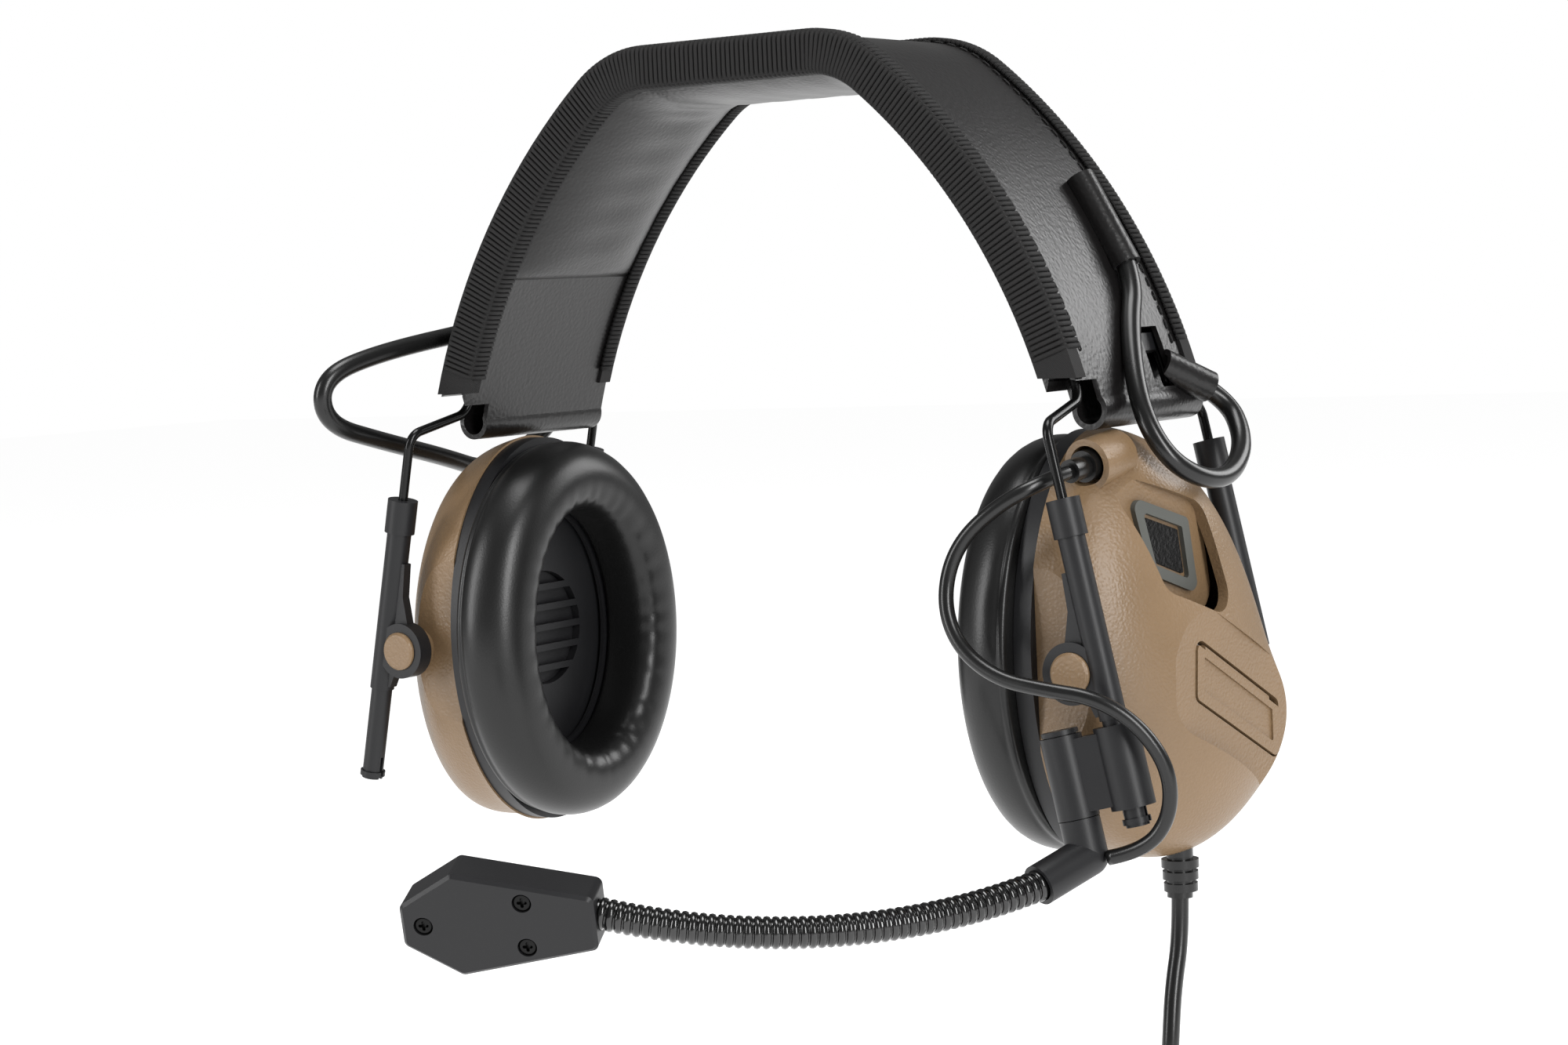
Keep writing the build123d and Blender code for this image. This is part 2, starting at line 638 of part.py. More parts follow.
def boom_clamp():
    """Double barrel clip that snaps on the left front arm's post."""
    bottom = CLAMP_TOP + CLAMP_LEN
    x, y = CLAMP_OFFSET
    body = upright(4.7, CLAMP_TOP, bottom) + upright(4.4, CLAMP_TOP, bottom, x, y)
    bridge = Pos(x / 2, y / 2, -(CLAMP_TOP + bottom) / 2) * Rot(0, 0, math.degrees(math.atan2(y, x)))
    body += bridge * Box(10.0, 6.0, CLAMP_LEN - 2.0)
    body -= upright(POST_R, CLAMP_TOP - 1, bottom + 1)
    body -= upright(ELBOW_PIN_R + 0.05, CLAMP_TOP - 1, bottom + 1, x, y)
    return on_arm(body, -ARM_Y)


def boom_elbow():
    """Elbow that turns in the clip's free barrel and holds the gooseneck."""
    x, y = CLAMP_OFFSET
    bottom = CLAMP_TOP + CLAMP_LEN
    pin = upright(ELBOW_PIN_R, CLAMP_TOP - 0.3, bottom + 0.3, x, y)
    pin += upright(3.9, CLAMP_TOP - 1.2, CLAMP_TOP - 0.2, x, y)
    start = arm_point(x, y, bottom + 0.2)
    body = on_arm(pin, -ARM_Y) + rod(start, ELBOW_CORNER, ELBOW_R) + rod(ELBOW_CORNER, ELBOW_END, ELBOW_R)
    body += Pos(*ELBOW_CORNER) * Sphere(ELBOW_R)
    return body - gooseneck_inner()


def gooseneck(first, last):
    """Stretch of the flexible metal tube, between two parts of its length."""
    arc = ThreePointArc(ELBOW_END, GOOSENECK_MID, GOOSENECK_END)
    stretch = arc.trim(first, last)
    return tube_along(stretch, GOOSENECK_R)


GOOSENECK_BEND = 0.55
BEND_GAP = 0.0125


def gooseneck_inner():
    """Half of the gooseneck next to the elbow, with its seat in the socket and the knuckle it bends on."""
    seat = Vector(*ELBOW_END) - (Vector(*ELBOW_END) - Vector(*ELBOW_CORNER)).normalized() * 3.0
    arc = ThreePointArc(ELBOW_END, GOOSENECK_MID, GOOSENECK_END)
    hinge, inside = arc @ GOOSENECK_BEND, arc @ (GOOSENECK_BEND - 2 * BEND_GAP)
    knuckle = Pos(hinge) * Cylinder(0.9, 5.0) + rod(tuple(inside), tuple(hinge), 0.7)
    return gooseneck(0.0, GOOSENECK_BEND - BEND_GAP) + rod(tuple(seat), ELBOW_END, GOOSENECK_R) + knuckle


def mic_form(low, high, grow=0.0):
    """Slab of the microphone housing between two depths of its front normal."""
    face = make_face(Polyline(*MIC_OUTLINE, close=True).edges())
    face = fillet(face.vertices(), 1.6)
    if grow:
        face = offset(face, amount=grow)
    return MIC_PLANE * Pos(0, 0, low) * extrude(face, amount=high - low)


def mic_half(front):
    """Front or back half of the microphone housing."""
    half = MIC_DEPTH / 2
    low, high = (0.0, half) if front else (-half, 0.0)
    body = mic_form(low, high)
    face_edge = body.faces().sort_by(Axis(GOOSENECK_END, MIC_NORMAL))[-1 if front else 0].edges()
    body = chamfer(face_edge, 0.7)
    body -= mic_form(low if front else low + 1.4, high - 1.4 if front else high, grow=-1.6)
    for s, w in MIC_SCREWS:
        body += MIC_PLANE * Pos(s, w, (low + high) / 2) * Cylinder(2.6, half - 0.8)
        body -= MIC_PLANE * Pos(s, w, (low + high) / 2) * Cylinder(0.9, half + 2)
        if front:
            body -= MIC_PLANE * Pos(s, w, half - 0.9) * Cylinder(2.0, 2.0)
    return largest(body - gooseneck_outer())


def mic_screws():
    """Three screws of the microphone housing."""
    pieces = []
    for s, w in MIC_SCREWS:
        head = MIC_PLANE * Pos(s, w, MIC_DEPTH / 2 - 1.3) * Cylinder(1.95, 1.2)
        pieces.append(head + MIC_PLANE * Pos(s, w, 0.4) * Cylinder(0.9, 6.0))
    return pieces


def mic_capsule():
    """Electret capsule inside the housing."""
    return MIC_PLANE * Pos(25.0, 0, 0) * Cylinder(4.8, 5.0)


def gooseneck_outer():
    """Half of the gooseneck next to the microphone, with its end in the housing."""
    inside = Vector(*GOOSENECK_END) + Vector(*MIC_AXIS) * 2.5
    return gooseneck(GOOSENECK_BEND + BEND_GAP, 1.0) + rod(GOOSENECK_END, tuple(inside), GOOSENECK_R)


# ---------------------------------------------------------------- cords
PLUG_END = tuple(JACK_MOUTH + JACK_DIR * 6.5)
MIC_CORD_ROUTE = [
    PLUG_END,
    tuple(JACK_MOUTH + JACK_DIR * 16.5),
    (75.6, -40.6, -95.4),
    (67.4, -43.4, -103.6),
    (65.2, -45.4, -114.5),
    (69.2, -46.8, -124.0),
    (78.4, -47.2, -130.4),
    (89.5, -46.6, -132.4),
    (100.2, -44.4, -134.0),
    (108.2, -40.8, -140.2),
    (112.6, -37.6, -149.4),
    (111.8, -36.6, -159.2),
    (106.2, -37.6, -166.2),
    (98.5, -38.9, -167.9),
]
LEFT_LOOP_ROUTE = [
    (77.1, 15.6, -40.8),
    (81.8, 14.4, -49.3),
    (85.4, 4.0, -61.1),
    (92.4, -6.0, -76.9),
    (98.5, -6.5, -87.4),
    (103.1, 1.0, -92.9),
    (104.4, 13.0, -93.0),
    (101.4, 26.5, -86.0),
    (93.7, 32.9, -76.1),
    (87.0, 22.5, -70.2),
]
RIGHT_LOOP_ROUTE = [
    (-77.1, 15.6, -40.8),
    (-81.8, 14.4, -49.3),
    (-87.0, -1.0, -53.8),
    (-95.8, -34.0, -58.6),
    (-100.2, -50.5, -64.0),
    (-101.2, -49.0, -75.0),
    (-99.4, -30.0, -80.4),
    (-101.6, -6.0, -85.6),
    (-104.2, 14.0, -90.6),
    (-101.4, 26.5, -86.0),
    (-93.7, 32.9, -76.1),
    (-87.0, 22.5, -70.2),
]
LEAD_ROUTE = [
    GLAND_END,
    (94.0, 0.8, -193.0),
    (94.0, -3.4, -203.0),
    (94.3, -6.4, -214.0),
    (94.0, -8.2, -224.9),
]
COIL_R = 22.0
COIL_SECTION = 4.8
COIL_CENTRE = (94.0, -8.5, -252.0)
TAIL_X = COIL_CENTRE[0] + COIL_R
PLUG_TOP_Z = -279.0


def cord_plug():
    """Ribbed plug of the microphone cord."""
    start = JACK_MOUTH - JACK_DIR * 4
    shoulder = JACK_MOUTH + JACK_DIR * 1.5
    return rod(tuple(start), tuple(shoulder), 3.4) + rod(tuple(shoulder), PLUG_END, 2.5)


def downlead_gland():
    """Strain relief under the left cup."""
    top, exit_point = Vector(*GLAND_TOP), Vector(*GLAND_EXIT)
    body = rod((top.X, top.Y, top.Z - 1), (exit_point.X, exit_point.Y, exit_point.Z), 2.9)
    for step, radius in enumerate((4.1, 3.9, 3.7)):
        z = exit_point.Z - 0.6 - 2.6 * step
        body += rod((top.X, top.Y, z), (top.X, top.Y, z - 1.8), radius)
    return body + rod(tuple(exit_point), GLAND_END, 2.8)


def coil():
    """Outer shape of the put-away coil."""
    return Pos(*COIL_CENTRE) * Rot(90, 0, 0) * Torus(COIL_R, COIL_SECTION)


def coil_tie():
    """Strap around the coil's turns."""
    x, y, z = COIL_CENTRE
    band = rod((x - 11.5, y, z + COIL_R - 4.0), (x - 4.5, y, z + COIL_R - 0.6), COIL_SECTION + 0.9)
    return band - coil()


def lead_tail():
    """Straight stretch from the coil to the plug."""
    y = COIL_CENTRE[1]
    return rod((TAIL_X, y, -270.1), (TAIL_X, y, PLUG_TOP_Z), LEAD_R)


def plug_body():
    """Moulded grip of the radio plug."""
    y = COIL_CENTRE[1]
    body = rod((TAIL_X, y, PLUG_TOP_Z), (TAIL_X, y, PLUG_TOP_Z - 8), 3.2)
    return body + rod((TAIL_X, y, PLUG_TOP_Z - 8), (TAIL_X, y, PLUG_TOP_Z - 30), 6.5)


def plug_pin():
    """Four-pole plug pin, 7.1 mm across."""
    y = COIL_CENTRE[1]
    top = PLUG_TOP_Z - 30
    pin = rod((TAIL_X, y, top), (TAIL_X, y, top - 24), 3.55)
    tip = chamfer(pin.edges().filter_by(GeomType.CIRCLE).sort_by(Axis.Z)[0], 1.2)
    return tip


# ---------------------------------------------------------------- nodes
def main():
    """Build and save every node."""
    front_wire = spring_wire(FRONT_WIRE_Y, -ARM_Y, 0.0)
    rear_wire = spring_wire(REAR_WIRE_Y, ARM_Y, REAR_ARM_RISE)
    left_loop = cord_tube(LEFT_LOOP_ROUTE, LOOP_CORD_R, "left_cable_loop")
    right_loop = cord_tube(RIGHT_LOOP_ROUTE, LOOP_CORD_R, "right_cable_loop")
    save(band_cover() - left_loop - right_loop, "band_cover")
    save(band_foam(), "band_foam")
    save(group(edge_binding(BAND_FRONT_Y - 0.7, BAND_FRONT_Y + 3.6),
               edge_binding(BAND_REAR_Y - 3.6, BAND_REAR_Y + 0.7)), "band_bindings")
    save(front_wire, "front_spring_wire")
    save(rear_wire, "rear_spring_wire")
    save(group(*wire_spacers((front_wire, rear_wire))), "wire_spacers")
    save(group(cable_tunnel(1, left_loop), cable_tunnel(-1, right_loop)), "cable_tunnels")
    save(group(cable_keeper(), mirrored(cable_keeper())), "cable_keepers")
    save(left_loop, "left_cable_loop")
    save(right_loop, "right_cable_loop")

    arms = {
        "front_arm": arm(True),
        "rear_arm": arm(False),
        "ferrules": group(*ferrules()),
    }
    cup = {
        "baffle": baffle(),
        "cushion_plate": cushion_plate(),
        "cushion": cushion(),
        "trunnion_buttons": group(*trunnion_buttons()),
        "window_bezel": window_bezel(),
        "window_foam": window_foam(),
        "battery": battery(),
        "speaker": speaker(),
        "baffle_screws": group(*baffle_screws()),
        "door_pin": door_pin(),
        "battery_door": battery_door(),
    }
    for name, shape in {**arms, **cup}.items():
        save(shape, f"left_{name}")
        save(mirrored(shape), f"right_{name}")
    save(shell(True), "left_shell")
    save(mirrored(shell(False)), "right_shell")

    save(circuit_board(), "circuit_board")
    for place, name in zip(KEY_PLACES, ("power_key", "volume_up_key", "volume_down_key")):
        save(key(place), name)

    save(boom_clamp(), "boom_clamp")
    save(boom_elbow(), "boom_elbow")
    save(gooseneck_inner(), "gooseneck_inner")
    save(gooseneck_outer(), "gooseneck_outer")
    save(mic_half(True), "mic_front_half")
    save(mic_half(False), "mic_back_half")
    save(mic_capsule(), "mic_capsule")
    save(group(*mic_screws()), "mic_screws")
    save(cord_plug(), "cord_plug")
    save(cord_tube(MIC_CORD_ROUTE, MIC_CORD_R, "mic_cord"), "mic_cord")

    save(downlead_gland(), "downlead_gland")
    save(group(cord_tube(LEAD_ROUTE, LEAD_R, "downlead_cord"), lead_tail()), "downlead_cord")
    save(coil(), "downlead_coil")
    save(coil_tie(), "coil_tie")
    save(plug_body(), "plug_body")
    save(plug_pin(), "plug_pin")


if __name__ == "__main__":
    main()
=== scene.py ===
"""Radio headset: finishes, soft pieces, cords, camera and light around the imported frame."""

import json
import logging
import math
from dataclasses import dataclass, field
from enum import Enum
from typing import Callable, Dict, List, Optional, Sequence, Tuple, Union

import bmesh
import bpy
from mathutils import Matrix, Vector

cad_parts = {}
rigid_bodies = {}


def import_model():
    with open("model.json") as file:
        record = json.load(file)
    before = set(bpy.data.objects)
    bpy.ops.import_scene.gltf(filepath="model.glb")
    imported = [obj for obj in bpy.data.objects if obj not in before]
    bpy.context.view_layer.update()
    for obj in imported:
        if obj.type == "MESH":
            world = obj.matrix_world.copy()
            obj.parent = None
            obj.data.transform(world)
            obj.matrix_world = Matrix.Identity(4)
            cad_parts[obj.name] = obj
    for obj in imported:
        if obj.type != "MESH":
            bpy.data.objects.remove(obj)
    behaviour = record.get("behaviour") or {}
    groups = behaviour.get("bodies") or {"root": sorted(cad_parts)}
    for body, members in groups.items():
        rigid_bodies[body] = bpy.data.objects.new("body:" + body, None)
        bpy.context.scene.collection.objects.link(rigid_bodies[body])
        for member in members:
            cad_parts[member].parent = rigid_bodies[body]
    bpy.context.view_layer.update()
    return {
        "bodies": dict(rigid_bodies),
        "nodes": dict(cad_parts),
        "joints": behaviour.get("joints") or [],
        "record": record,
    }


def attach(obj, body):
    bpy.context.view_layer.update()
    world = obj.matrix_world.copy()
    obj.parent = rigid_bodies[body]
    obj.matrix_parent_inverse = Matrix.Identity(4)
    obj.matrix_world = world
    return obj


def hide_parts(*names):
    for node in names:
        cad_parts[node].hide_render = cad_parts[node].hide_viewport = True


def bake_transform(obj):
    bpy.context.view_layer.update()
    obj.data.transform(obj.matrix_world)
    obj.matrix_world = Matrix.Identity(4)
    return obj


LOG = logging.getLogger("headset")
MM = 0.001
Point = Tuple[float, float, float]
Pair = Tuple[float, float]


class Side(Enum):
    """Side of the wearer's head, with the sign of X there."""

    LEFT = 1
    RIGHT = -1

    @property
    def word(self) -> str:
        """Lower-case name of the side."""
        return self.name.lower()


class Grain(Enum):
    """Kinds of fine surface."""

    PEBBLE = "pebble"
    LEATHER = "leather"
    SATIN = "satin"
    FUZZ = "fuzz"
    CLOTH = "cloth"


# ------------------------------------------------------------------ materials
class Signal:
    """A shader socket that takes part in Python arithmetic."""

    def __init__(self, tree: bpy.types.NodeTree, socket: bpy.types.NodeSocket) -> None:
        """Wrap an output socket.

        Args:
            tree: the node tree that owns it.
            socket: the output socket.
        """
        self.tree = tree
        self.socket = socket

    def _maths(self, operation: str, first: "Number", second: "Number") -> "Signal":
        """Add one Math node.

        Args:
            operation: the node's operation.
            first: first operand.
            second: second operand.

        Returns:
            The node's result.
        """
        node = self.tree.nodes.new("ShaderNodeMath")
        node.operation = operation
        for slot, operand in enumerate((first, second)):
            if isinstance(operand, Signal):
                self.tree.links.new(operand.socket, node.inputs[slot])
            else:
                node.inputs[slot].default_value = operand
        return Signal(self.tree, node.outputs[0])

    def __add__(self, other: "Number") -> "Signal":
        """Sum."""
        return self._maths("ADD", self, other)

    def __sub__(self, other: "Number") -> "Signal":
        """Difference."""
        return self._maths("SUBTRACT", self, other)

    def __rsub__(self, other: "Number") -> "Signal":
        """Reflected difference."""
        return self._maths("SUBTRACT", other, self)

    def __mul__(self, other: "Number") -> "Signal":
        """Product."""
        return self._maths("MULTIPLY", self, other)


Number = Union[Signal, float]


class Shader:
    """Material with one Principled BSDF and a helper for its other nodes."""

    def __init__(self, name: str) -> None:
        """Start an empty material.

        Args:
            name: the material's name.
        """
        self.material = bpy.data.materials.new(name)
        self.material.use_nodes = True
        self.tree = self.material.node_tree
        self.bsdf = next(node for node in self.tree.nodes if node.type == "BSDF_PRINCIPLED")

    def node(
        self, kind: str, settings: Optional[Dict[str, object]] = None, **sockets: object
    ) -> bpy.types.Node:
        """Add a node.

        Args:
            kind: the node's type.
            settings: its properties, set first.
            sockets: values or links of its inputs, with _ for a space.

        Returns:
            The node.
        """
        node = self.tree.nodes.new(kind)
        for key, value in (settings or {}).items():
            setattr(node, key, value)
        for key, value in sockets.items():
            self.feed(node.inputs[key.replace("_", " ")], value)
        return node

    def feed(self, socket: bpy.types.NodeSocket, value: object) -> None:
        """Link or set one input.

        Args:
            socket: the input.
            value: a Signal, an output socket or a constant.
        """
        if isinstance(value, Signal):
            value = value.socket
        if isinstance(value, bpy.types.NodeSocket):
            self.tree.links.new(value, socket)
        else:
            socket.default_value = value

    def signal(self, node: bpy.types.Node, output: str) -> Signal:
        """Wrap a node's output."""
        return Signal(self.tree, node.outputs[output])

    def coords(self) -> bpy.types.NodeSocket:
        """Object coordinates."""
        return self.node("ShaderNodeTexCoord").outputs["Object"]

    def blend(self, amount: Signal, first: Sequence[float], second: Sequence[float]) -> bpy.types.NodeSocket:
        """Mix two colours.

        Args:
            amount: share of the second colour.
            first: linear colour at 0.
            second: linear colour at 1.

        Returns:
            The mixed colour socket.
        """
        mix = self.node("ShaderNodeMix", {"data_type": "RGBA"})
        self.feed(mix.inputs[0], amount)
        self.feed(mix.inputs[6], (*first, 1.0))
        self.feed(mix.inputs[7], (*second, 1.0))
        return mix.outputs[2]


BROAD_SCALE = 60.0
ROUGHNESS_SPREAD = 0.12
COAT_ROUGHNESS = 0.15


@dataclass(frozen=True)
class Finish:
    """One finish of the headset: colour, gloss and fine grain."""

    slot: str
    colour: Tuple[float, float, float]
    roughness: float
    grain: Grain = Grain.SATIN
    size: float = 0.7
    depth: float = 0.05
    mottle: float = 0.12
    metallic: float = 0.0
    coat: float = 0.0
    sheen: float = 0.0
    specular: float = 0.5

    def build(self) -> bpy.types.Material:
        """Build the material.

        Returns:
            The material.
        """
        shader = Shader(self.slot)
        coords = shader.coords()
        frequency = 1.0 / (self.size * MM)
        broad_noise = shader.node("ShaderNodeTexNoise", None, Vector=coords, Scale=BROAD_SCALE, Detail=4.0)
        fine_noise = shader.node("ShaderNodeTexNoise", None, Vector=coords, Scale=frequency, Detail=3.0)
        broad = shader.signal(broad_noise, "Fac")
        fine = shader.signal(fine_noise, "Fac")
        height = fine
        if self.grain in (Grain.PEBBLE, Grain.LEATHER):
            cells = shader.node(
                "ShaderNodeTexVoronoi", {"feature": "SMOOTH_F1"}, Vector=coords, Scale=frequency
            )
            height = (1.0 - shader.signal(cells, "Distance")) * 0.8 + fine * 0.4
        if self.grain is Grain.CLOTH:
            wave = shader.node(
                "ShaderNodeTexWave", {"bands_direction": "DIAGONAL"}, Vector=coords, Scale=frequency * 0.5
            )
            height = shader.signal(wave, "Fac") * 0.7 + fine * 0.5
        tone = broad * 0.6 + fine * 0.4
        dark = tuple(channel * (1.0 - self.mottle) for channel in self.colour)
        light = tuple(min(1.0, channel * (1.0 + self.mottle)) for channel in self.colour)
        shader.feed(shader.bsdf.inputs["Base Color"], shader.blend(tone, dark, light))
        smoothest = self.roughness - ROUGHNESS_SPREAD / 2
        shader.feed(shader.bsdf.inputs["Roughness"], broad * ROUGHNESS_SPREAD + smoothest)
        shader.bsdf.inputs["Metallic"].default_value = self.metallic
        shader.bsdf.inputs["Coat Weight"].default_value = self.coat
        shader.bsdf.inputs["Coat Roughness"].default_value = COAT_ROUGHNESS
        shader.bsdf.inputs["Sheen Weight"].default_value = self.sheen
        shader.bsdf.inputs["Specular IOR Level"].default_value = self.specular
        bump = shader.node("ShaderNodeBump", None, Strength=0.9, Distance=self.depth * MM, Height=height)
        shader.feed(shader.bsdf.inputs["Normal"], bump.outputs["Normal"])
        return shader.material


FINISHES = [
    Finish("leather_black", (0.0060, 0.0055, 0.0055), 0.33, Grain.LEATHER, 0.9, 0.09, 0.25, specular=0.42),
    Finish("binding_black", (0.0085, 0.0080, 0.0080), 0.70, Grain.CLOTH, 0.4, 0.06, 0.3, specular=0.3),
    Finish("foam_black", (0.0050, 0.0050, 0.0050), 0.95, Grain.FUZZ, 0.9, 0.9, 0.6, sheen=0.1, specular=0.2),
    Finish("wire_black", (0.0060, 0.0060, 0.0060), 0.22, Grain.SATIN, 0.5, 0.004, 0.1, metallic=0.5),
    Finish("plastic_black", (0.0090, 0.0090, 0.0100), 0.42, Grain.SATIN, 0.35, 0.015, 0.15, specular=0.36),
    Finish("plastic_tan", (0.190, 0.121, 0.063), 0.40, Grain.PEBBLE, 0.62, 0.13, 0.14),
    Finish("plastic_grey", (0.075, 0.078, 0.070), 0.48, Grain.SATIN, 0.4, 0.01, 0.1),
    Finish("rubber_black", (0.0055, 0.0055, 0.0055), 0.28, Grain.SATIN, 0.6, 0.006, 0.12, specular=0.45),
    Finish("gooseneck_black", (0.0040, 0.0040, 0.0040), 0.17, Grain.SATIN, 0.5, 0.002, 0.1, coat=0.5),
    Finish("cushion_black", (0.0060, 0.0060, 0.0060), 0.34, Grain.LEATHER, 0.45, 0.02, 0.15, specular=0.4),
    Finish("screw_black", (0.015, 0.015, 0.015), 0.30, Grain.SATIN, 0.4, 0.004, 0.1, metallic=0.9),
    Finish("pin_steel", (0.55, 0.55, 0.56), 0.30, Grain.SATIN, 0.3, 0.003, 0.05, metallic=1.0),
    Finish("plug_nickel", (0.66, 0.65, 0.62), 0.18, Grain.SATIN, 0.4, 0.002, 0.04, metallic=1.0),
    Finish("cell_metal", (0.50, 0.50, 0.50), 0.35, Grain.SATIN, 0.4, 0.003, 0.05, metallic=1.0),
    Finish("board_green", (0.02, 0.12, 0.05), 0.45, Grain.SATIN, 0.5, 0.01, 0.2),
]


# ------------------------------------------------------------------ mesh helpers
class Workshop:
    """Shared materials and the frame, with the calls that every piece ends in."""

    def __init__(self, frame: Dict[str, object]) -> None:
        """Keep the frame and build each finish.
        """
        self.frame = frame
        self.materials = {finish.slot: finish.build() for finish in FINISHES}

    def dress_nodes(self) -> None:
        """Give every CAD node the finish of its slot."""
        for part in self.frame["record"]["subparts"]:
            node = self.frame["nodes"].get(part["node"])
            if node is None:
                continue
            for slot in node.material_slots:
                slot.material = self.materials[part["material_slot"]]

    def mesh(
        self, name: str, verts: Sequence[Point], faces: Sequence[Sequence[int]], slot: str
    ) -> bpy.types.Object:
        """Make a mesh object from points in metres.

        Args:
            name: the piece's name.
            verts: points.
            faces: corner numbers of each face.
            slot: the material slot.

        Returns:
            The object.
        """
        data = bpy.data.meshes.new(name)
        data.from_pydata([tuple(point) for point in verts], [], [tuple(face) for face in faces])
        bench = bmesh.new()
        bench.from_mesh(data)
        bmesh.ops.remove_doubles(bench, verts=bench.verts, dist=1e-6)
        bmesh.ops.recalc_face_normals(bench, faces=bench.faces)
        bench.to_mesh(data)
        bench.free()
        return self.object(name, data, slot)

    def object(self, name: str, data: bpy.types.ID, slot: str) -> bpy.types.Object:
        """Link an object with one material and smooth faces."""
        piece = bpy.data.objects.new(name, data)
        bpy.context.scene.collection.objects.link(piece)
        data.materials.clear()
        data.materials.append(self.materials[slot])
        if isinstance(data, bpy.types.Mesh):
            data.shade_smooth()
        return piece

    def finish_piece(
        self, piece: bpy.types.Object, body: Optional[str], nodes: Sequence[str] = ()
    ) -> bpy.types.Object:
        """Parent a piece to its body, hide the CAD nodes it stands for and log it.

        Args:
            piece: the object.
            body: the CAD body it rides on, or None where it blends.
            nodes: CAD nodes it stands for.

        Returns:
            The same object.
        """
        if body:
            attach(piece, body)
        if nodes:
            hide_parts(*nodes)
        LOG.info("piece %s", piece.name)
        return piece

    def grid(
        self, name: str, rows: Sequence[Sequence[Point]], slot: str, ring: bool = True, loop: bool = False
    ) -> bpy.types.Object:
        """Skin a set of sections.

        Args:
            name: the piece's name.
            rows: one list of points for each section.
            slot: the material slot.
            ring: each section is closed.
            loop: the last section joins the first; otherwise closed sections are capped.

        Returns:
            The object.
        """
        count = len(rows[0])
        verts = [point for row in rows for point in row]
        faces: List[List[int]] = []
        last = len(rows) if loop else len(rows) - 1
        for i in range(last):
            for j in range(count if ring else count - 1):
                a, b = i * count, ((i + 1) % len(rows)) * count
                faces.append([a + j, a + (j + 1) % count, b + (j + 1) % count, b + j])
        if ring and not loop:
            faces.append(list(range(count)))
            faces.append([last * count + j for j in range(count)])
        return self.mesh(name, verts, faces, slot)


class Repeater:
    """Geometry Nodes tree that sets copies of an item along a curve."""

    def __init__(self) -> None:
        """Build the tree with its named inputs."""
        tree = bpy.data.node_groups.new("copies_along_line", "GeometryNodeTree")
        face = tree.interface
        for label, kind, way in (
            ("Line", "NodeSocketGeometry", "INPUT"),
            ("Item", "NodeSocketObject", "INPUT"),
            ("Spacing", "NodeSocketFloat", "INPUT"),
            ("Finish", "NodeSocketMaterial", "INPUT"),
            ("Copies", "NodeSocketGeometry", "OUTPUT"),
        ):
            face.new_socket(name=label, in_out=way, socket_type=kind)
        add, link = tree.nodes.new, tree.links.new
        start, end = add("NodeGroupInput"), add("NodeGroupOutput")
        resample = add("GeometryNodeResampleCurve")
        resample.mode = "LENGTH"
        tangent = add("GeometryNodeInputTangent")
        align = add("FunctionNodeAlignRotationToVector")
        align.axis = "Z"
        align.pivot_axis = "Y"
        info = add("GeometryNodeObjectInfo")
        place = add("GeometryNodeInstanceOnPoints")
        realize = add("GeometryNodeRealizeInstances")
        paint = add("GeometryNodeSetMaterial")
        link(start.outputs["Line"], resample.inputs["Curve"])
        link(start.outputs["Spacing"], resample.inputs["Length"])
        link(start.outputs["Item"], info.inputs["Object"])
        link(tangent.outputs["Tangent"], align.inputs["Vector"])
        link(resample.outputs["Curve"], place.inputs["Points"])
        link(info.outputs["Geometry"], place.inputs["Instance"])
        link(align.outputs["Rotation"], place.inputs["Rotation"])
        link(place.outputs["Instances"], realize.inputs["Geometry"])
        link(realize.outputs["Geometry"], paint.inputs["Geometry"])
        link(start.outputs["Finish"], paint.inputs["Material"])
        link(paint.outputs["Geometry"], end.inputs["Copies"])
        self.tree = tree
        self.free_tree = tree.copy()
        next(node for node in self.free_tree.nodes if node.bl_idname == align.bl_idname).pivot_axis = "AUTO"

    def along(
        self,
        shop: Workshop,
        name: str,
        line: Sequence[Point],
        item: bpy.types.Object,
        spacing: float,
        slot: str,
        upright: bool = True,
    ) -> bpy.types.Object:
        """Set copies of an item along a line and return them as one plain mesh.

        Args:
            shop: the workshop.
            name: the piece's name.
            line: points of the line, in metres.
            item: the object to copy; it is removed afterwards.
            spacing: distance between copies, in metres.
            slot: the material slot.
            upright: copies turn about Y alone.

        Returns:
            The object.
        """
        curve = bpy.data.curves.new(name + "_line", "CURVE")
        curve.dimensions = "3D"
        spline = curve.splines.new("POLY")
        spline.points.add(len(line) - 1)
        for knot, point in zip(spline.points, line):
            knot.co = (*point, 1.0)
        holder = bpy.data.objects.new(name + "_line", curve)
        bpy.context.scene.collection.objects.link(holder)
        modifier = holder.modifiers.new("copies", "NODES")
        modifier.node_group = self.tree if upright else self.free_tree
        sockets = {entry.name: entry.identifier for entry in modifier.node_group.interface.items_tree}
        modifier[sockets["Item"]] = item
        modifier[sockets["Spacing"]] = spacing
        modifier[sockets["Finish"]] = shop.materials[slot]
        graph = bpy.context.evaluated_depsgraph_get()
        data = bpy.data.meshes.new_from_object(holder.evaluated_get(graph))
        data.name = name
        for spent in (holder, item):
            spent_data = spent.data
            bpy.data.objects.remove(spent)
            store = bpy.data.curves if isinstance(spent_data, bpy.types.Curve) else bpy.data.meshes
            store.remove(spent_data)
        return shop.object(name, data, slot)


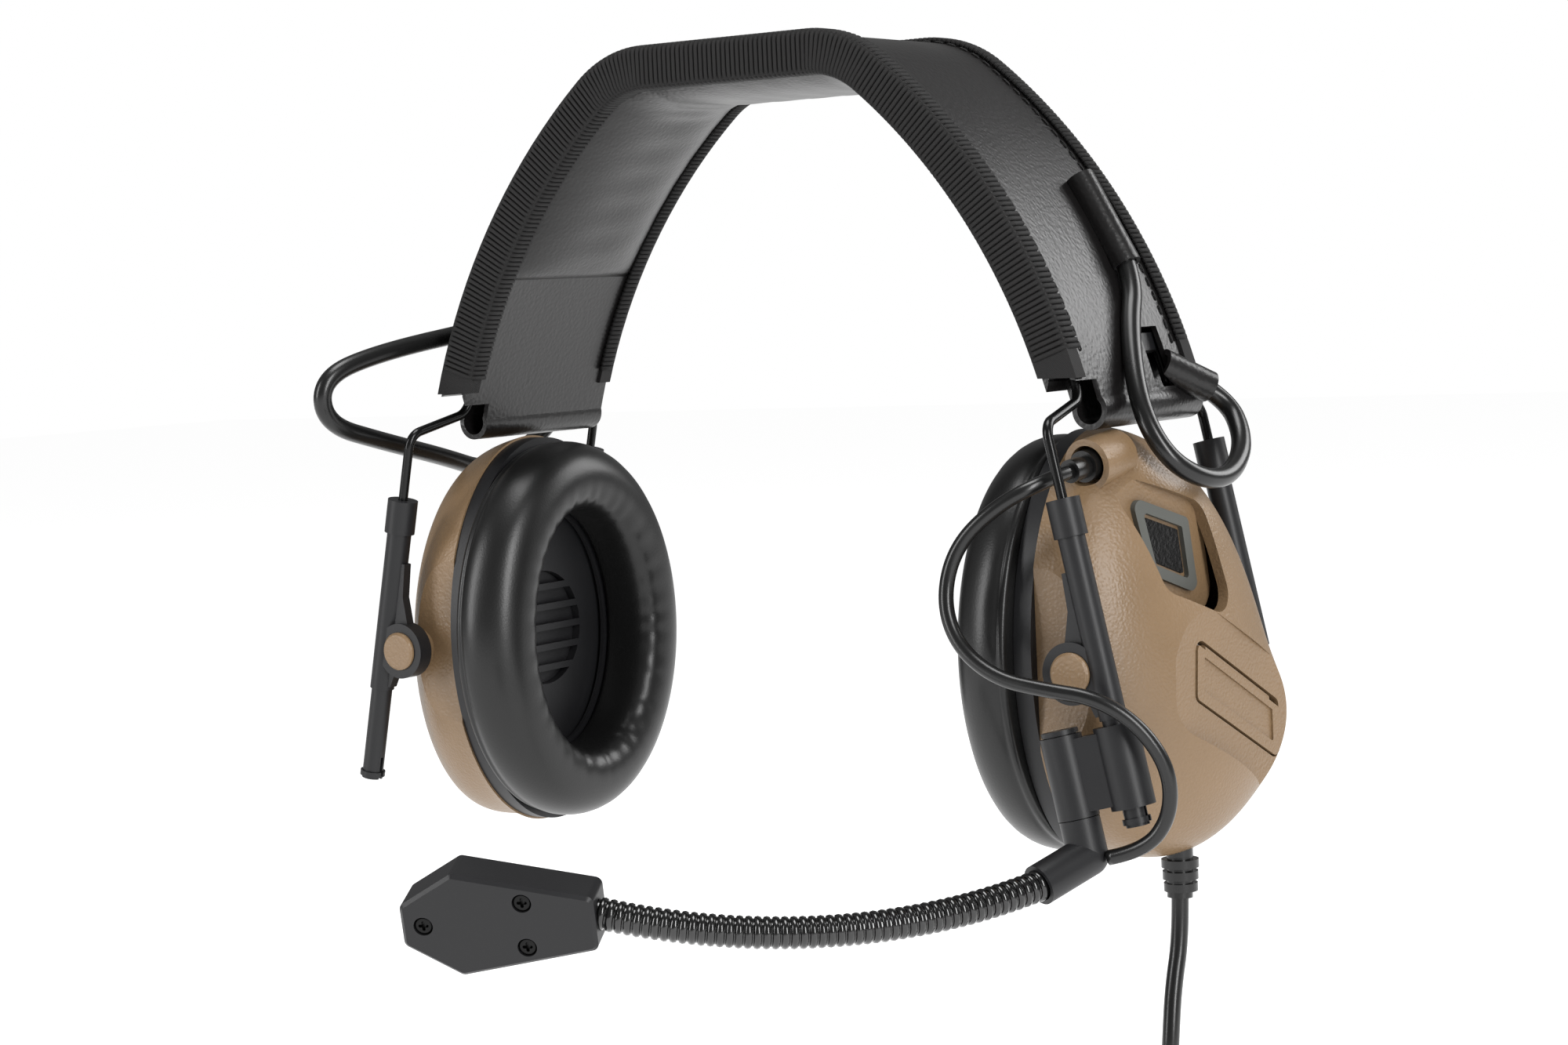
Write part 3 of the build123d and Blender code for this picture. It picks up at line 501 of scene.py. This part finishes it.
def tube_rows(line: Sequence[Point], radius: Callable[[float], float], sides: int = 24) -> List[List[Point]]:
    """Round sections along a line.

    Args:
        line: points in metres.
        radius: radius in metres at a share of the line's length.
        sides: points of each section.

    Returns:
        The sections.
    """
    rows = []
    normal = Vector((0, 0, 1))
    for index, point in enumerate(line):
        before = Vector(line[max(index - 1, 0)])
        after = Vector(line[min(index + 1, len(line) - 1)])
        tangent = (after - before).normalized()
        normal = (normal - tangent * normal.dot(tangent)).normalized()
        across = tangent.cross(normal)
        size = radius(index / (len(line) - 1))
        row = []
        for step in range(sides):
            angle = math.tau * step / sides
            offset = normal * math.cos(angle) + across * math.sin(angle)
            row.append(tuple(Vector(point) + offset * size))
        rows.append(row)
    return rows


def bead_along(points: Sequence[Point], radius: float, sides: int = 6) -> Tuple[List[Point], List[List[int]]]:
    """Thin bead through points, as vertices and faces."""
    rows = tube_rows(points, lambda share: radius, sides)
    verts = [vertex for row in rows for vertex in row]
    faces = []
    for i in range(len(rows) - 1):
        for j in range(sides):
            k = (j + 1) % sides
            faces.append([i * sides + j, i * sides + k, (i + 1) * sides + k, (i + 1) * sides + j])
    faces.append(list(range(sides)))
    faces.append([(len(rows) - 1) * sides + j for j in range(sides)])
    return verts, faces


# ------------------------------------------------------------------ headband
@dataclass
class Headband:
    """Padding, ribbed tape and stitching of the headband."""

    front: float = -23.2
    rear: float = 32.0
    thick: float = 7.5
    flat: float = 22.5
    shoulder_radius: float = 27.0
    shoulder_turn: float = 40.0
    side_radius: float = 148.0
    tape_width: float = 4.4
    tape_skin: float = 0.75
    edge_corner: float = 0.9
    rib_pitch: float = 1.25
    stitch_pitch: float = 3.4
    stitch_inset: float = 6.2
    stitch_half: float = 1.1
    thread: float = 0.22
    pad_bulge: float = 4.2
    pad_end_turn: float = 60.5
    tape_end_turn: float = 70.6

    def station(self, length: float) -> Tuple[Pair, Pair]:
        """Point of the band's outer face and the direction into the head.

        Args:
            length: distance from the crown, in millimetres, negative towards the wearer's right.

        Returns:
            (x, z) in millimetres and the inward normal.
        """
        sign = -1.0 if length < 0 else 1.0
        run = abs(length)
        centre = Vector((self.flat, self.thick - self.shoulder_radius))
        bend = math.radians(self.shoulder_turn) * self.shoulder_radius
        if run <= self.flat:
            return (sign * run, self.thick), (0.0, -1.0)
        run -= self.flat
        radius = self.shoulder_radius
        if run <= bend:
            angle = run / radius
        else:
            turn = math.radians(self.shoulder_turn)
            shift = self.shoulder_radius - self.side_radius
            centre = centre + Vector((math.sin(turn), math.cos(turn))) * shift
            radius = self.side_radius
            angle = turn + (run - bend) / radius
        x = centre.x + radius * math.sin(angle)
        z = centre.y + radius * math.cos(angle)
        return (sign * x, z), (-sign * math.sin(angle), -math.cos(angle))

    def reach(self, turn: float) -> float:
        """Distance from the crown to where the band's side has turned by an angle in degrees."""
        bend = math.radians(self.shoulder_turn) * self.shoulder_radius
        return self.flat + bend + math.radians(turn - self.shoulder_turn) * self.side_radius

    def line(self, depth: float, y: float, turn: float, count: int = 240) -> List[Point]:
        """Line that follows the band from its right side to its left.

        Args:
            depth: distance below the outer face, in millimetres.
            y: place across the band, in millimetres.
            turn: how far down the sides it goes, in degrees.
            count: number of steps.

        Returns:
            Points in metres.
        """
        end = self.reach(turn)
        points = []
        for step in range(count + 1):
            (x, z), (nx, nz) = self.station(-end + 2 * end * step / count)
            points.append(((x + nx * depth) * MM, y * MM, (z + nz * depth) * MM))
        return points

    def pad(self, shop: Workshop) -> None:
        """Padded lining on the band's underside."""
        end = self.reach(self.pad_end_turn)
        stations = 120
        across = 22
        low, high = self.front + 3.3, self.rear - 3.3
        rows = []
        for step in range(stations + 1):
            share = -1 + 2 * step / stations
            (x, z), (nx, nz) = self.station(share * end)
            taper = math.sqrt(max(0.0, 1 - abs(share) ** 14))
            row = []
            for j in range(across + 1):
                t = -1 + 2 * j / across
                fold = 0.18 * math.sin(share * 61) * math.cos(t * 3) * (1 - t * t)
                depth = self.thick + 0.05 + (self.pad_bulge * (1 - abs(t) ** 3.2) + fold) * taper
                y = low + (high - low) * j / across
                row.append(((x + nx * depth) * MM, y * MM, (z + nz * depth) * MM))
            for y in (high, low):
                depth = self.thick - 0.4
                row.append(((x + nx * depth) * MM, y * MM, (z + nz * depth) * MM))
            rows.append(row)
        piece = shop.grid("band_lining", rows, "leather_black")
        shop.finish_piece(piece, "headband")

    def rib(self, shop: Workshop, rear: bool) -> bpy.types.Object:
        """One rib of the edge tape, as a small bead folded over the band's edge."""
        edge = self.rear if rear else self.front
        way = 1.0 if rear else -1.0
        inner = edge - way * self.tape_width
        corner = self.edge_corner
        size = corner + self.tape_skin
        path = [(-self.tape_skin, inner)]
        for step in range(7):
            angle = math.pi / 2 * step / 6
            y = edge - way * corner + way * size * math.sin(angle)
            path.append((corner - size * math.cos(angle), y))
        for step in range(7):
            angle = math.pi / 2 * step / 6
            y = edge - way * corner + way * size * math.cos(angle)
            path.append((self.thick - corner + size * math.sin(angle), y))
        path.append((self.thick + self.tape_skin, inner))
        points = [(depth * MM, y * MM, 0.0) for depth, y in path]
        verts, faces = bead_along(points, 0.5 * self.rib_pitch * MM, 6)
        return shop.mesh("rib", verts, faces, "binding_black")

    def tape(self, shop: Workshop, repeater: Repeater) -> None:
        """Ribbed tape over both long edges."""
        for rear in (False, True):
            word = "rear" if rear else "front"
            line = self.line(0.0, 0.0, self.tape_end_turn)
            ribs = repeater.along(
                shop, f"{word}_edge_ribs", line, self.rib(shop, rear), self.rib_pitch * MM, "binding_black"
            )
            shop.finish_piece(ribs, "headband")

    def stitches(self, shop: Workshop, repeater: Repeater) -> None:
        """Row of stitches beside each tape."""
        end, knee, lift = self.stitch_half * MM, 0.7 * MM, 0.2 * MM
        thread_line = [(0, 0, -end), (-lift, 0, -knee), (-lift, 0, knee), (0, 0, end)]
        for word, y in (("front", self.front + self.stitch_inset), ("rear", self.rear - self.stitch_inset)):
            verts, faces = bead_along(thread_line, self.thread * MM)
            item = shop.mesh("stitch", verts, faces, "binding_black")
            line = self.line(-0.05, y, self.tape_end_turn)
            row = repeater.along(
                shop, f"{word}_stitches", line, item, self.stitch_pitch * MM, "binding_black"
            )
            shop.finish_piece(row, "headband")

    def build(self, shop: Workshop, repeater: Repeater) -> None:
        """Build every piece of the headband."""
        self.pad(shop)
        self.tape(shop, repeater)
        self.stitches(shop, repeater)


# ------------------------------------------------------------------ cushions
@dataclass
class EarCushion:
    """Leather ear cushion of one cup."""

    side: Side
    centre_z: float = -128.5
    outer_y: float = 38.0
    outer_z: float = 46.0
    hole_y: float = 21.0
    hole_z: float = 29.0
    face_x: float = 59.6
    back_x: float = 74.75
    steps: int = 144
    gather: float = 0.14

    def section(self) -> List[Pair]:
        """Section of the roll: share of the way from the hole to the outer edge, and share of its height."""
        return [
            (0.06, 0.0), (0.0, 0.08), (0.0, 0.45), (0.03, 0.72), (0.12, 0.9), (0.28, 0.985), (0.46, 1.0),
            (0.64, 0.96), (0.8, 0.86), (0.92, 0.7), (0.985, 0.5), (1.0, 0.32), (0.985, 0.2), (0.955, 0.15),
            (0.95, 0.12), (0.965, 0.09), (0.95, 0.03), (0.9, 0.0),
        ]

    def build(self, shop: Workshop) -> None:
        """Build the cushion."""
        rows = []
        height = self.back_x - self.face_x
        for step in range(self.steps):
            angle = math.tau * step / self.steps
            c, s = math.cos(angle), math.sin(angle)
            waver = 0.8 * math.sin(angle * 5)
            gather = self.gather * math.sin(angle * 36 + waver) + 0.05 * math.sin(angle * 53)
            row = []
            for share, rise in self.section():
                ease = max(0.0, 1 - abs(share - 0.12) / 0.3) * min(1.0, rise * 1.6)
                y_size = self.hole_y + (self.outer_y - self.hole_y) * share
                z_size = self.hole_z + (self.outer_z - self.hole_z) * share
                x = self.back_x - height * rise + gather * ease
                row.append((self.side.value * x * MM, (y_size + gather * ease * 0.6) * c * MM,
                            (self.centre_z + (z_size + gather * ease * 0.6) * s) * MM))
            rows.append(row)
        word = self.side.word
        piece = shop.grid(f"{word}_ear_cushion", rows, "cushion_black", loop=True)
        smooth = piece.modifiers.new("smooth", "SUBSURF")
        smooth.levels = smooth.render_levels = 1
        shop.finish_piece(piece, f"{word}_cup", [f"{word}_cushion"])


# ------------------------------------------------------------------ boom
@dataclass
class Boom:
    """Flexible metal tube and microphone screws."""

    start: Point = (88.9, -51.5, -172.0)
    middle: Point = (55.0, -94.0, -176.0)
    end: Point = (24.0, -114.0, -170.5)
    radius: float = 3.35
    core_radius: float = 2.8
    wire_depth: float = 0.6
    wire_half: float = 0.84
    pitch: float = 1.8
    bend_from: float = 0.40
    bend_to: float = 0.70
    mic_axis: Point = (-0.916, -0.400, 0.0)
    mic_normal: Point = (0.384, -0.881, -0.276)
    mic_depth: float = 10.0
    screws: Tuple[Pair, ...] = ((14.5, 4.9), (14.5, -4.9), (35.4, 0.0))

    def arc(self, first: float, last: float, count: int) -> List[Point]:
        """Points of the tube's centre line between two shares of its length, in metres."""
        a, b, c = (Vector(point) * MM for point in (self.start, self.middle, self.end))
        ab, ac = b - a, c - a
        normal = ab.cross(ac)
        centre = a + (normal.cross(ab) * ac.length_squared + ac.cross(normal) * ab.length_squared) / (
            2 * normal.length_squared
        )
        axis = normal.normalized()
        span = (a - centre).angle(b - centre) + (b - centre).angle(c - centre)
        points = []
        for step in range(count + 1):
            share = first + (last - first) * step / count
            points.append(tuple(centre + Matrix.Rotation(span * share, 3, axis) @ (a - centre)))
        return points

    def tube(self, shop: Workshop, repeater: Repeater) -> None:
        """Core tube and its ring ribs."""
        line = self.arc(-0.02, 1.02, 96)
        core_rows = tube_rows(line, lambda share: self.core_radius * MM, 20)
        core = shop.grid("gooseneck_core", core_rows, "gooseneck_black")
        verts, faces = [], []
        sides, ring = 28, 8
        for i in range(sides):
            turn = math.tau * i / sides
            for j in range(ring):
                angle = math.tau * j / ring
                size = (self.radius - self.wire_depth + self.wire_depth * math.cos(angle)) * MM
                height = self.wire_half * math.sin(angle) * MM
                verts.append((size * math.cos(turn), size * math.sin(turn), height))
        for i in range(sides):
            for j in range(ring):
                a, b = i * ring, ((i + 1) % sides) * ring
                faces.append([a + j, a + (j + 1) % ring, b + (j + 1) % ring, b + j])
        item = shop.mesh("ring", verts, faces, "gooseneck_black")
        rings_line = self.arc(0.005, 0.995, 120)
        rings = repeater.along(
            shop, "gooseneck_rings", rings_line, item, self.pitch * MM, "gooseneck_black", False
        )
        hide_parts("gooseneck_inner", "gooseneck_outer")
        for piece in (core, rings):
            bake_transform(piece)
            shop.finish_piece(piece, None)

    def screw_heads(self, shop: Workshop) -> None:
        """Cross-recess screws on the microphone's front."""
        along, out = Vector(self.mic_axis).normalized(), Vector(self.mic_normal).normalized()
        across = out.cross(along)
        base = Vector(self.end) * MM
        verts: List[Point] = []
        faces: List[List[int]] = []
        profile = [(0.0, -1.0), (1.85, -1.0), (1.9, -0.25), (1.6, 0.0), (1.2, 0.07)]
        for s, w in self.screws:
            centre = base + (along * s + across * w + out * (self.mic_depth / 2 - 0.35)) * MM
            sides = 32
            first = len(verts)
            for size, height in profile[1:]:
                for i in range(sides):
                    angle = math.tau * i / sides
                    spoke = along * math.cos(angle) + across * math.sin(angle)
                    verts.append(tuple(centre + (spoke * size + out * height) * MM))
            for level in range(len(profile) - 2):
                for i in range(sides):
                    k = (i + 1) % sides
                    faces.append([first + level * sides + i, first + level * sides + k,
                                  first + (level + 1) * sides + k, first + (level + 1) * sides + i])
            rim = first + (len(profile) - 2) * sides
            cross = []
            for i in range(sides):
                angle = math.tau * i / sides
                near = min(abs(math.sin(angle)), abs(math.cos(angle)))
                size = 1.05 if near < 0.24 else 0.34 / max(near, 0.2)
                cross.append(min(size, 1.05))
            top = len(verts)
            for height in (0.07, -0.75):
                for i in range(sides):
                    angle = math.tau * i / sides
                    spoke = along * math.cos(angle) + across * math.sin(angle)
                    verts.append(tuple(centre + (spoke * cross[i] + out * height) * MM))
            for i in range(sides):
                k = (i + 1) % sides
                faces.append([rim + i, rim + k, top + k, top + i])
                faces.append([top + i, top + k, top + sides + k, top + sides + i])
            faces.append([top + sides + i for i in range(sides)])
            faces.append([first + i for i in range(sides)])
        piece = shop.mesh("mic_screw_heads", verts, faces, "screw_black")
        piece.data.shade_flat()
        shop.finish_piece(piece, "boom_tip", ["mic_screws"])

    def build(self, shop: Workshop, repeater: Repeater) -> None:
        """Build the boom's pieces."""
        self.tube(shop, repeater)
        self.screw_heads(shop)


# ------------------------------------------------------------------ cords
@dataclass
class Cord:
    """One cord on a smooth spline."""

    name: str
    route: List[Point]
    radius: float
    nodes: Tuple[str, ...]
    body: Optional[str] = None
    joins: Tuple[str, str, Point, Point] = ("", "", (0, 0, 0), (0, 0, 0))
    stiffness: str = "medium"
    lay: str = "loose"
    far_end: str = "object"

    def build(self, shop: Workshop, length: float, with_pieces: Sequence[object] = ()) -> bpy.types.Object:
        """Build the cord.

        Args:
            shop: the workshop.
            length: its real length in metres; not used.
            with_pieces: pieces on it; not used.

        Returns:
            The curve object.
        """
        curve = bpy.data.curves.new(self.name, "CURVE")
        curve.dimensions = "3D"
        curve.bevel_depth = self.radius * MM
        curve.bevel_resolution = 6
        curve.use_fill_caps = True
        curve.resolution_u = 12
        spline = curve.splines.new("NURBS")
        spline.points.add(len(self.route) - 1)
        for knot, point in zip(spline.points, self.route):
            knot.co = (point[0] * MM, point[1] * MM, point[2] * MM, 1.0)
        spline.order_u = 3
        spline.use_endpoint_u = True
        piece = shop.object(self.name, curve, "rubber_black")
        path = None
        if not self.body:
            piece, path = self.as_mesh(shop, piece)
            first, second, start, end = self.joins
            tuple(v * MM for v in start)
            tuple(v * MM for v in end)
            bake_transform(piece)
        shop.finish_piece(piece, self.body, self.nodes)
        tuple(value * MM for value in self.route[0])
        2 * self.radius * MM
        return piece

    def as_mesh(self, shop: Workshop, curve: bpy.types.Object) -> Tuple[bpy.types.Object, List[Point]]:
        """Swap the curve for a mesh tube along the same path.

        Args:
            shop: the workshop.
            curve: the cord's curve object; it is removed.

        Returns:
            The mesh object and the points that it follows.
        """
        curve.data.bevel_depth = 0.0
        graph = bpy.context.evaluated_depsgraph_get()
        line = bpy.data.meshes.new_from_object(curve.evaluated_get(graph))
        path = [tuple(vertex.co) for vertex in line.vertices]
        bpy.data.meshes.remove(line)
        spent = curve.data
        bpy.data.objects.remove(curve)
        bpy.data.curves.remove(spent)
        rows = tube_rows(path, lambda share: self.radius * MM, 20)
        return shop.grid(self.name, rows, "rubber_black"), path


MIC_CORD_R = 1.6
LOOP_CORD_R = 2.2
MIC_CORD_LENGTH = 0.133
LEFT_LOOP_LENGTH = 0.118
RIGHT_LOOP_LENGTH = 0.188
MIC_CORD_ROUTE = [
    (85.785, -25.903, -89.045), (84.683, -35.757, -90.346), (75.6, -40.6, -95.4), (67.4, -43.4, -103.6),
    (65.2, -45.4, -114.5), (69.2, -46.8, -124.0), (78.4, -47.2, -130.4), (89.5, -46.6, -132.4),
    (100.2, -44.4, -134.0), (108.2, -40.8, -140.2), (112.6, -37.6, -149.4), (111.8, -36.6, -159.2),
    (106.2, -37.6, -166.2), (98.5, -38.9, -167.9),
]
LEFT_LOOP_ROUTE = [
    (77.1, 15.6, -40.8), (81.8, 14.4, -49.3), (85.4, 4.0, -61.1), (92.4, -6.0, -76.9), (98.5, -6.5, -87.4),
    (103.1, 1.0, -92.9), (104.4, 13.0, -93.0), (101.4, 26.5, -86.0), (93.7, 32.9, -76.1), (87.0, 22.5, -70.2),
]
RIGHT_LOOP_ROUTE = [
    (-77.1, 15.6, -40.8), (-81.8, 14.4, -49.3), (-87.0, -1.0, -53.8), (-95.8, -34.0, -58.6),
    (-100.2, -50.5, -64.0), (-101.2, -49.0, -75.0), (-99.4, -30.0, -80.4), (-101.6, -6.0, -85.6),
    (-104.2, 14.0, -90.6), (-101.4, 26.5, -86.0), (-93.7, 32.9, -76.1), (-87.0, 22.5, -70.2),
]
LEAD_ROUTE = [
    (94.0, 1.4, -184.0), (94.0, 0.8, -193.0), (94.0, -3.4, -203.0), (94.3, -6.0, -213.0),
]


@dataclass
class DownLead:
    """Lead from the left cup to the radio plug, with its spare length coiled."""

    coil_radius: float = 22.0
    strand: float = 1.96
    centre: Point = (94.0, -8.5, -252.0)
    plug_top: float = -279.0
    radius: float = 1.9
    length: float = 0.655
    corners: List[Pair] = field(default_factory=lambda: [(1, 1), (-1, 1), (-1, -1), (1, -1)])

    def on_ring(self, angle: float, out: float, back: float) -> Point:
        """Point of the coil at an angle from the top, with offsets outwards and backwards."""
        size = self.coil_radius + out
        turn = math.radians(angle)
        return (
            self.centre[0] + size * math.sin(turn),
            self.centre[1] + back,
            self.centre[2] + size * math.cos(turn),
        )

    def route(self) -> List[Point]:
        """Whole route: down from the gland, four turns and down to the plug."""
        points = list(LEAD_ROUTE)
        points += [(94.1, -6.6, -219.5), (96.4, -6.6, -224.4)]
        for angle, out in ((18, 5.9), (33, 5.9), (48, 5.6), (66, 3.7)):
            points.append(self.on_ring(angle, out, self.strand))
        for turn, (out, back) in enumerate(self.corners):
            stop = 405 if turn < 3 else 366
            for angle in range(85, stop + 1, 20):
                points.append(self.on_ring(angle, out * self.strand, back * self.strand))
            if turn < 3:
                ahead = self.corners[turn + 1]
                middle = ((out + ahead[0]) / 2 * self.strand, (back + ahead[1]) / 2 * self.strand)
                points.append(self.on_ring(425, *middle))
        points.append(self.on_ring(385, 1.96, -2.3))
        points.append(self.on_ring(405, 1.96, -2.3))
        points.append(self.on_ring(425, 2.6, -2.3))
        points.append((119.2, -10.9, -251.0))
        points.append((118.6, -10.6, -259.0))
        points.append((116.4, -8.9, -267.0))
        points.append((116.0, -8.5, -272.0))
        points.append((116.0, -8.5, self.plug_top))
        return points

    def build(self, shop: Workshop) -> None:
        """Build the lead."""
        route = self.route()
        cord = Cord(
            "down_lead", route, self.radius, ("downlead_cord", "downlead_coil"), body="left_cup",
            lay="coiled", far_end="plug",
        )
        nodes = shop.frame["nodes"]
        pieces = [nodes[name] for name in ("coil_tie", "plug_body", "plug_pin")]
        cord.build(shop, self.length, pieces)


# ------------------------------------------------------------------ setting
class Studio:
    """Camera, light and floor."""

    location: Point = (0.4003, -0.6002, -0.0487)
    right: Point = (0.8301, 0.5557, -0.0461)
    up: Point = (-0.0029, 0.0870, 0.9962)
    lens: float = 71.48
    floor_z: float = -0.345
    ambient: float = 0.22
    floor_glow: float = 0.86
    backdrop: float = 1.0
    softboxes: Tuple[Tuple[str, Point, Pair, float], ...] = (
        ("key_softbox", (1.5, -0.75, 0.55), (0.40, 1.3), 26),
        ("fill_softbox", (-1.1, -1.5, 0.5), (0.45, 1.3), 18),
        ("rim_softbox", (0.9, 1.3, 0.7), (0.8, 0.8), 13),
        ("top_softbox", (0.0, -0.1, 1.4), (0.9, 0.6), 14),
    )

    def camera(self) -> None:
        """Camera at the viewing angle."""
        data = bpy.data.cameras.new("camera")
        data.lens = self.lens
        data.sensor_width = 36.0
        data.sensor_fit = "HORIZONTAL"
        camera = bpy.data.objects.new("camera", data)
        bpy.context.scene.collection.objects.link(camera)
        right = Vector(self.right).normalized()
        up = Vector(self.up)
        up = (up - right * up.dot(right)).normalized()
        basis = Matrix((right, up, right.cross(up))).transposed().to_4x4()
        camera.matrix_world = Matrix.Translation(self.location) @ basis
        bpy.context.scene.camera = camera

    def light(self, name: str, place: Point, target: Point, size: Pair, power: float) -> None:
        """One softbox.

        Args:
            name: its name.
            place: where it stands.
            target: the point it faces.
            size: width and height in metres.
            power: watts.
        """
        data = bpy.data.lights.new(name, "AREA")
        data.shape = "RECTANGLE"
        data.size, data.size_y = size
        data.energy = power
        lamp = bpy.data.objects.new(name, data)
        bpy.context.scene.collection.objects.link(lamp)
        aim = Vector(target) - Vector(place)
        lamp.matrix_world = Matrix.Translation(place) @ aim.to_track_quat("-Z", "Y").to_matrix().to_4x4()

    def build(self) -> None:
        """Set up camera, light and floor."""
        self.camera()
        target = (0.03, 0.0, -0.1)
        for name, place, size, power in self.softboxes:
            self.light(name, place, target, size, power)
        world = bpy.data.worlds.new("studio")
        world.use_nodes = True
        background = next(node for node in world.node_tree.nodes if node.type == "BACKGROUND")
        background.inputs["Color"].default_value = (1.0, 1.0, 1.0, 1.0)
        rays = world.node_tree.nodes.new("ShaderNodeLightPath")
        seen = Signal(world.node_tree, rays.outputs["Is Camera Ray"])
        strength = seen * (self.backdrop - self.ambient) + self.ambient
        world.node_tree.links.new(strength.socket, background.inputs["Strength"])
        bpy.context.scene.world = world
        bpy.context.scene.view_settings.view_transform = "Standard"
        shader = Shader("floor_white")
        shader.bsdf.inputs["Base Color"].default_value = (0.55, 0.55, 0.55, 1.0)
        shader.bsdf.inputs["Roughness"].default_value = 0.9
        shader.bsdf.inputs["Specular IOR Level"].default_value = 0.0
        shader.bsdf.inputs["Emission Color"].default_value = (1.0, 1.0, 1.0, 1.0)
        shader.bsdf.inputs["Emission Strength"].default_value = self.floor_glow
        data = bpy.data.meshes.new("floor")
        half = 6.0
        corners = [(-half, -half), (half, -half), (half, half), (-half, half)]
        data.from_pydata([(x, y, self.floor_z) for x, y in corners], [], [(0, 1, 2, 3)])
        data.materials.append(shader.material)
        floor = bpy.data.objects.new("floor", data)
        bpy.context.scene.collection.objects.link(floor)


def main() -> None:
    """Build every class in order."""
    logging.basicConfig(level=logging.INFO, format="%(name)s: %(message)s")
    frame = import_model()
    shop = Workshop(frame)
    shop.dress_nodes()
    repeater = Repeater()
    Headband().build(shop, repeater)
    for side in Side:
        EarCushion(side).build(shop)
    Boom().build(shop, repeater)
    microphone_cord = Cord(
        "microphone_cord", MIC_CORD_ROUTE, MIC_CORD_R, ("mic_cord",),
        joins=("left_yoke", "boom", (110.5, -37.0, -155.0), (98.5, -38.9, -167.9)), stiffness="limp",
    )
    left_loop = Cord("left_loop_cord", LEFT_LOOP_ROUTE, LOOP_CORD_R, ("left_cable_loop",), body="headband")
    right_loop = Cord(
        "right_loop_cord", RIGHT_LOOP_ROUTE, LOOP_CORD_R, ("right_cable_loop",), body="headband"
    )
    microphone_cord.build(shop, MIC_CORD_LENGTH)
    left_loop.build(shop, LEFT_LOOP_LENGTH)
    right_loop.build(shop, RIGHT_LOOP_LENGTH)
    DownLead().build(shop)
    Studio().build()


if __name__ == "__main__":
    main()
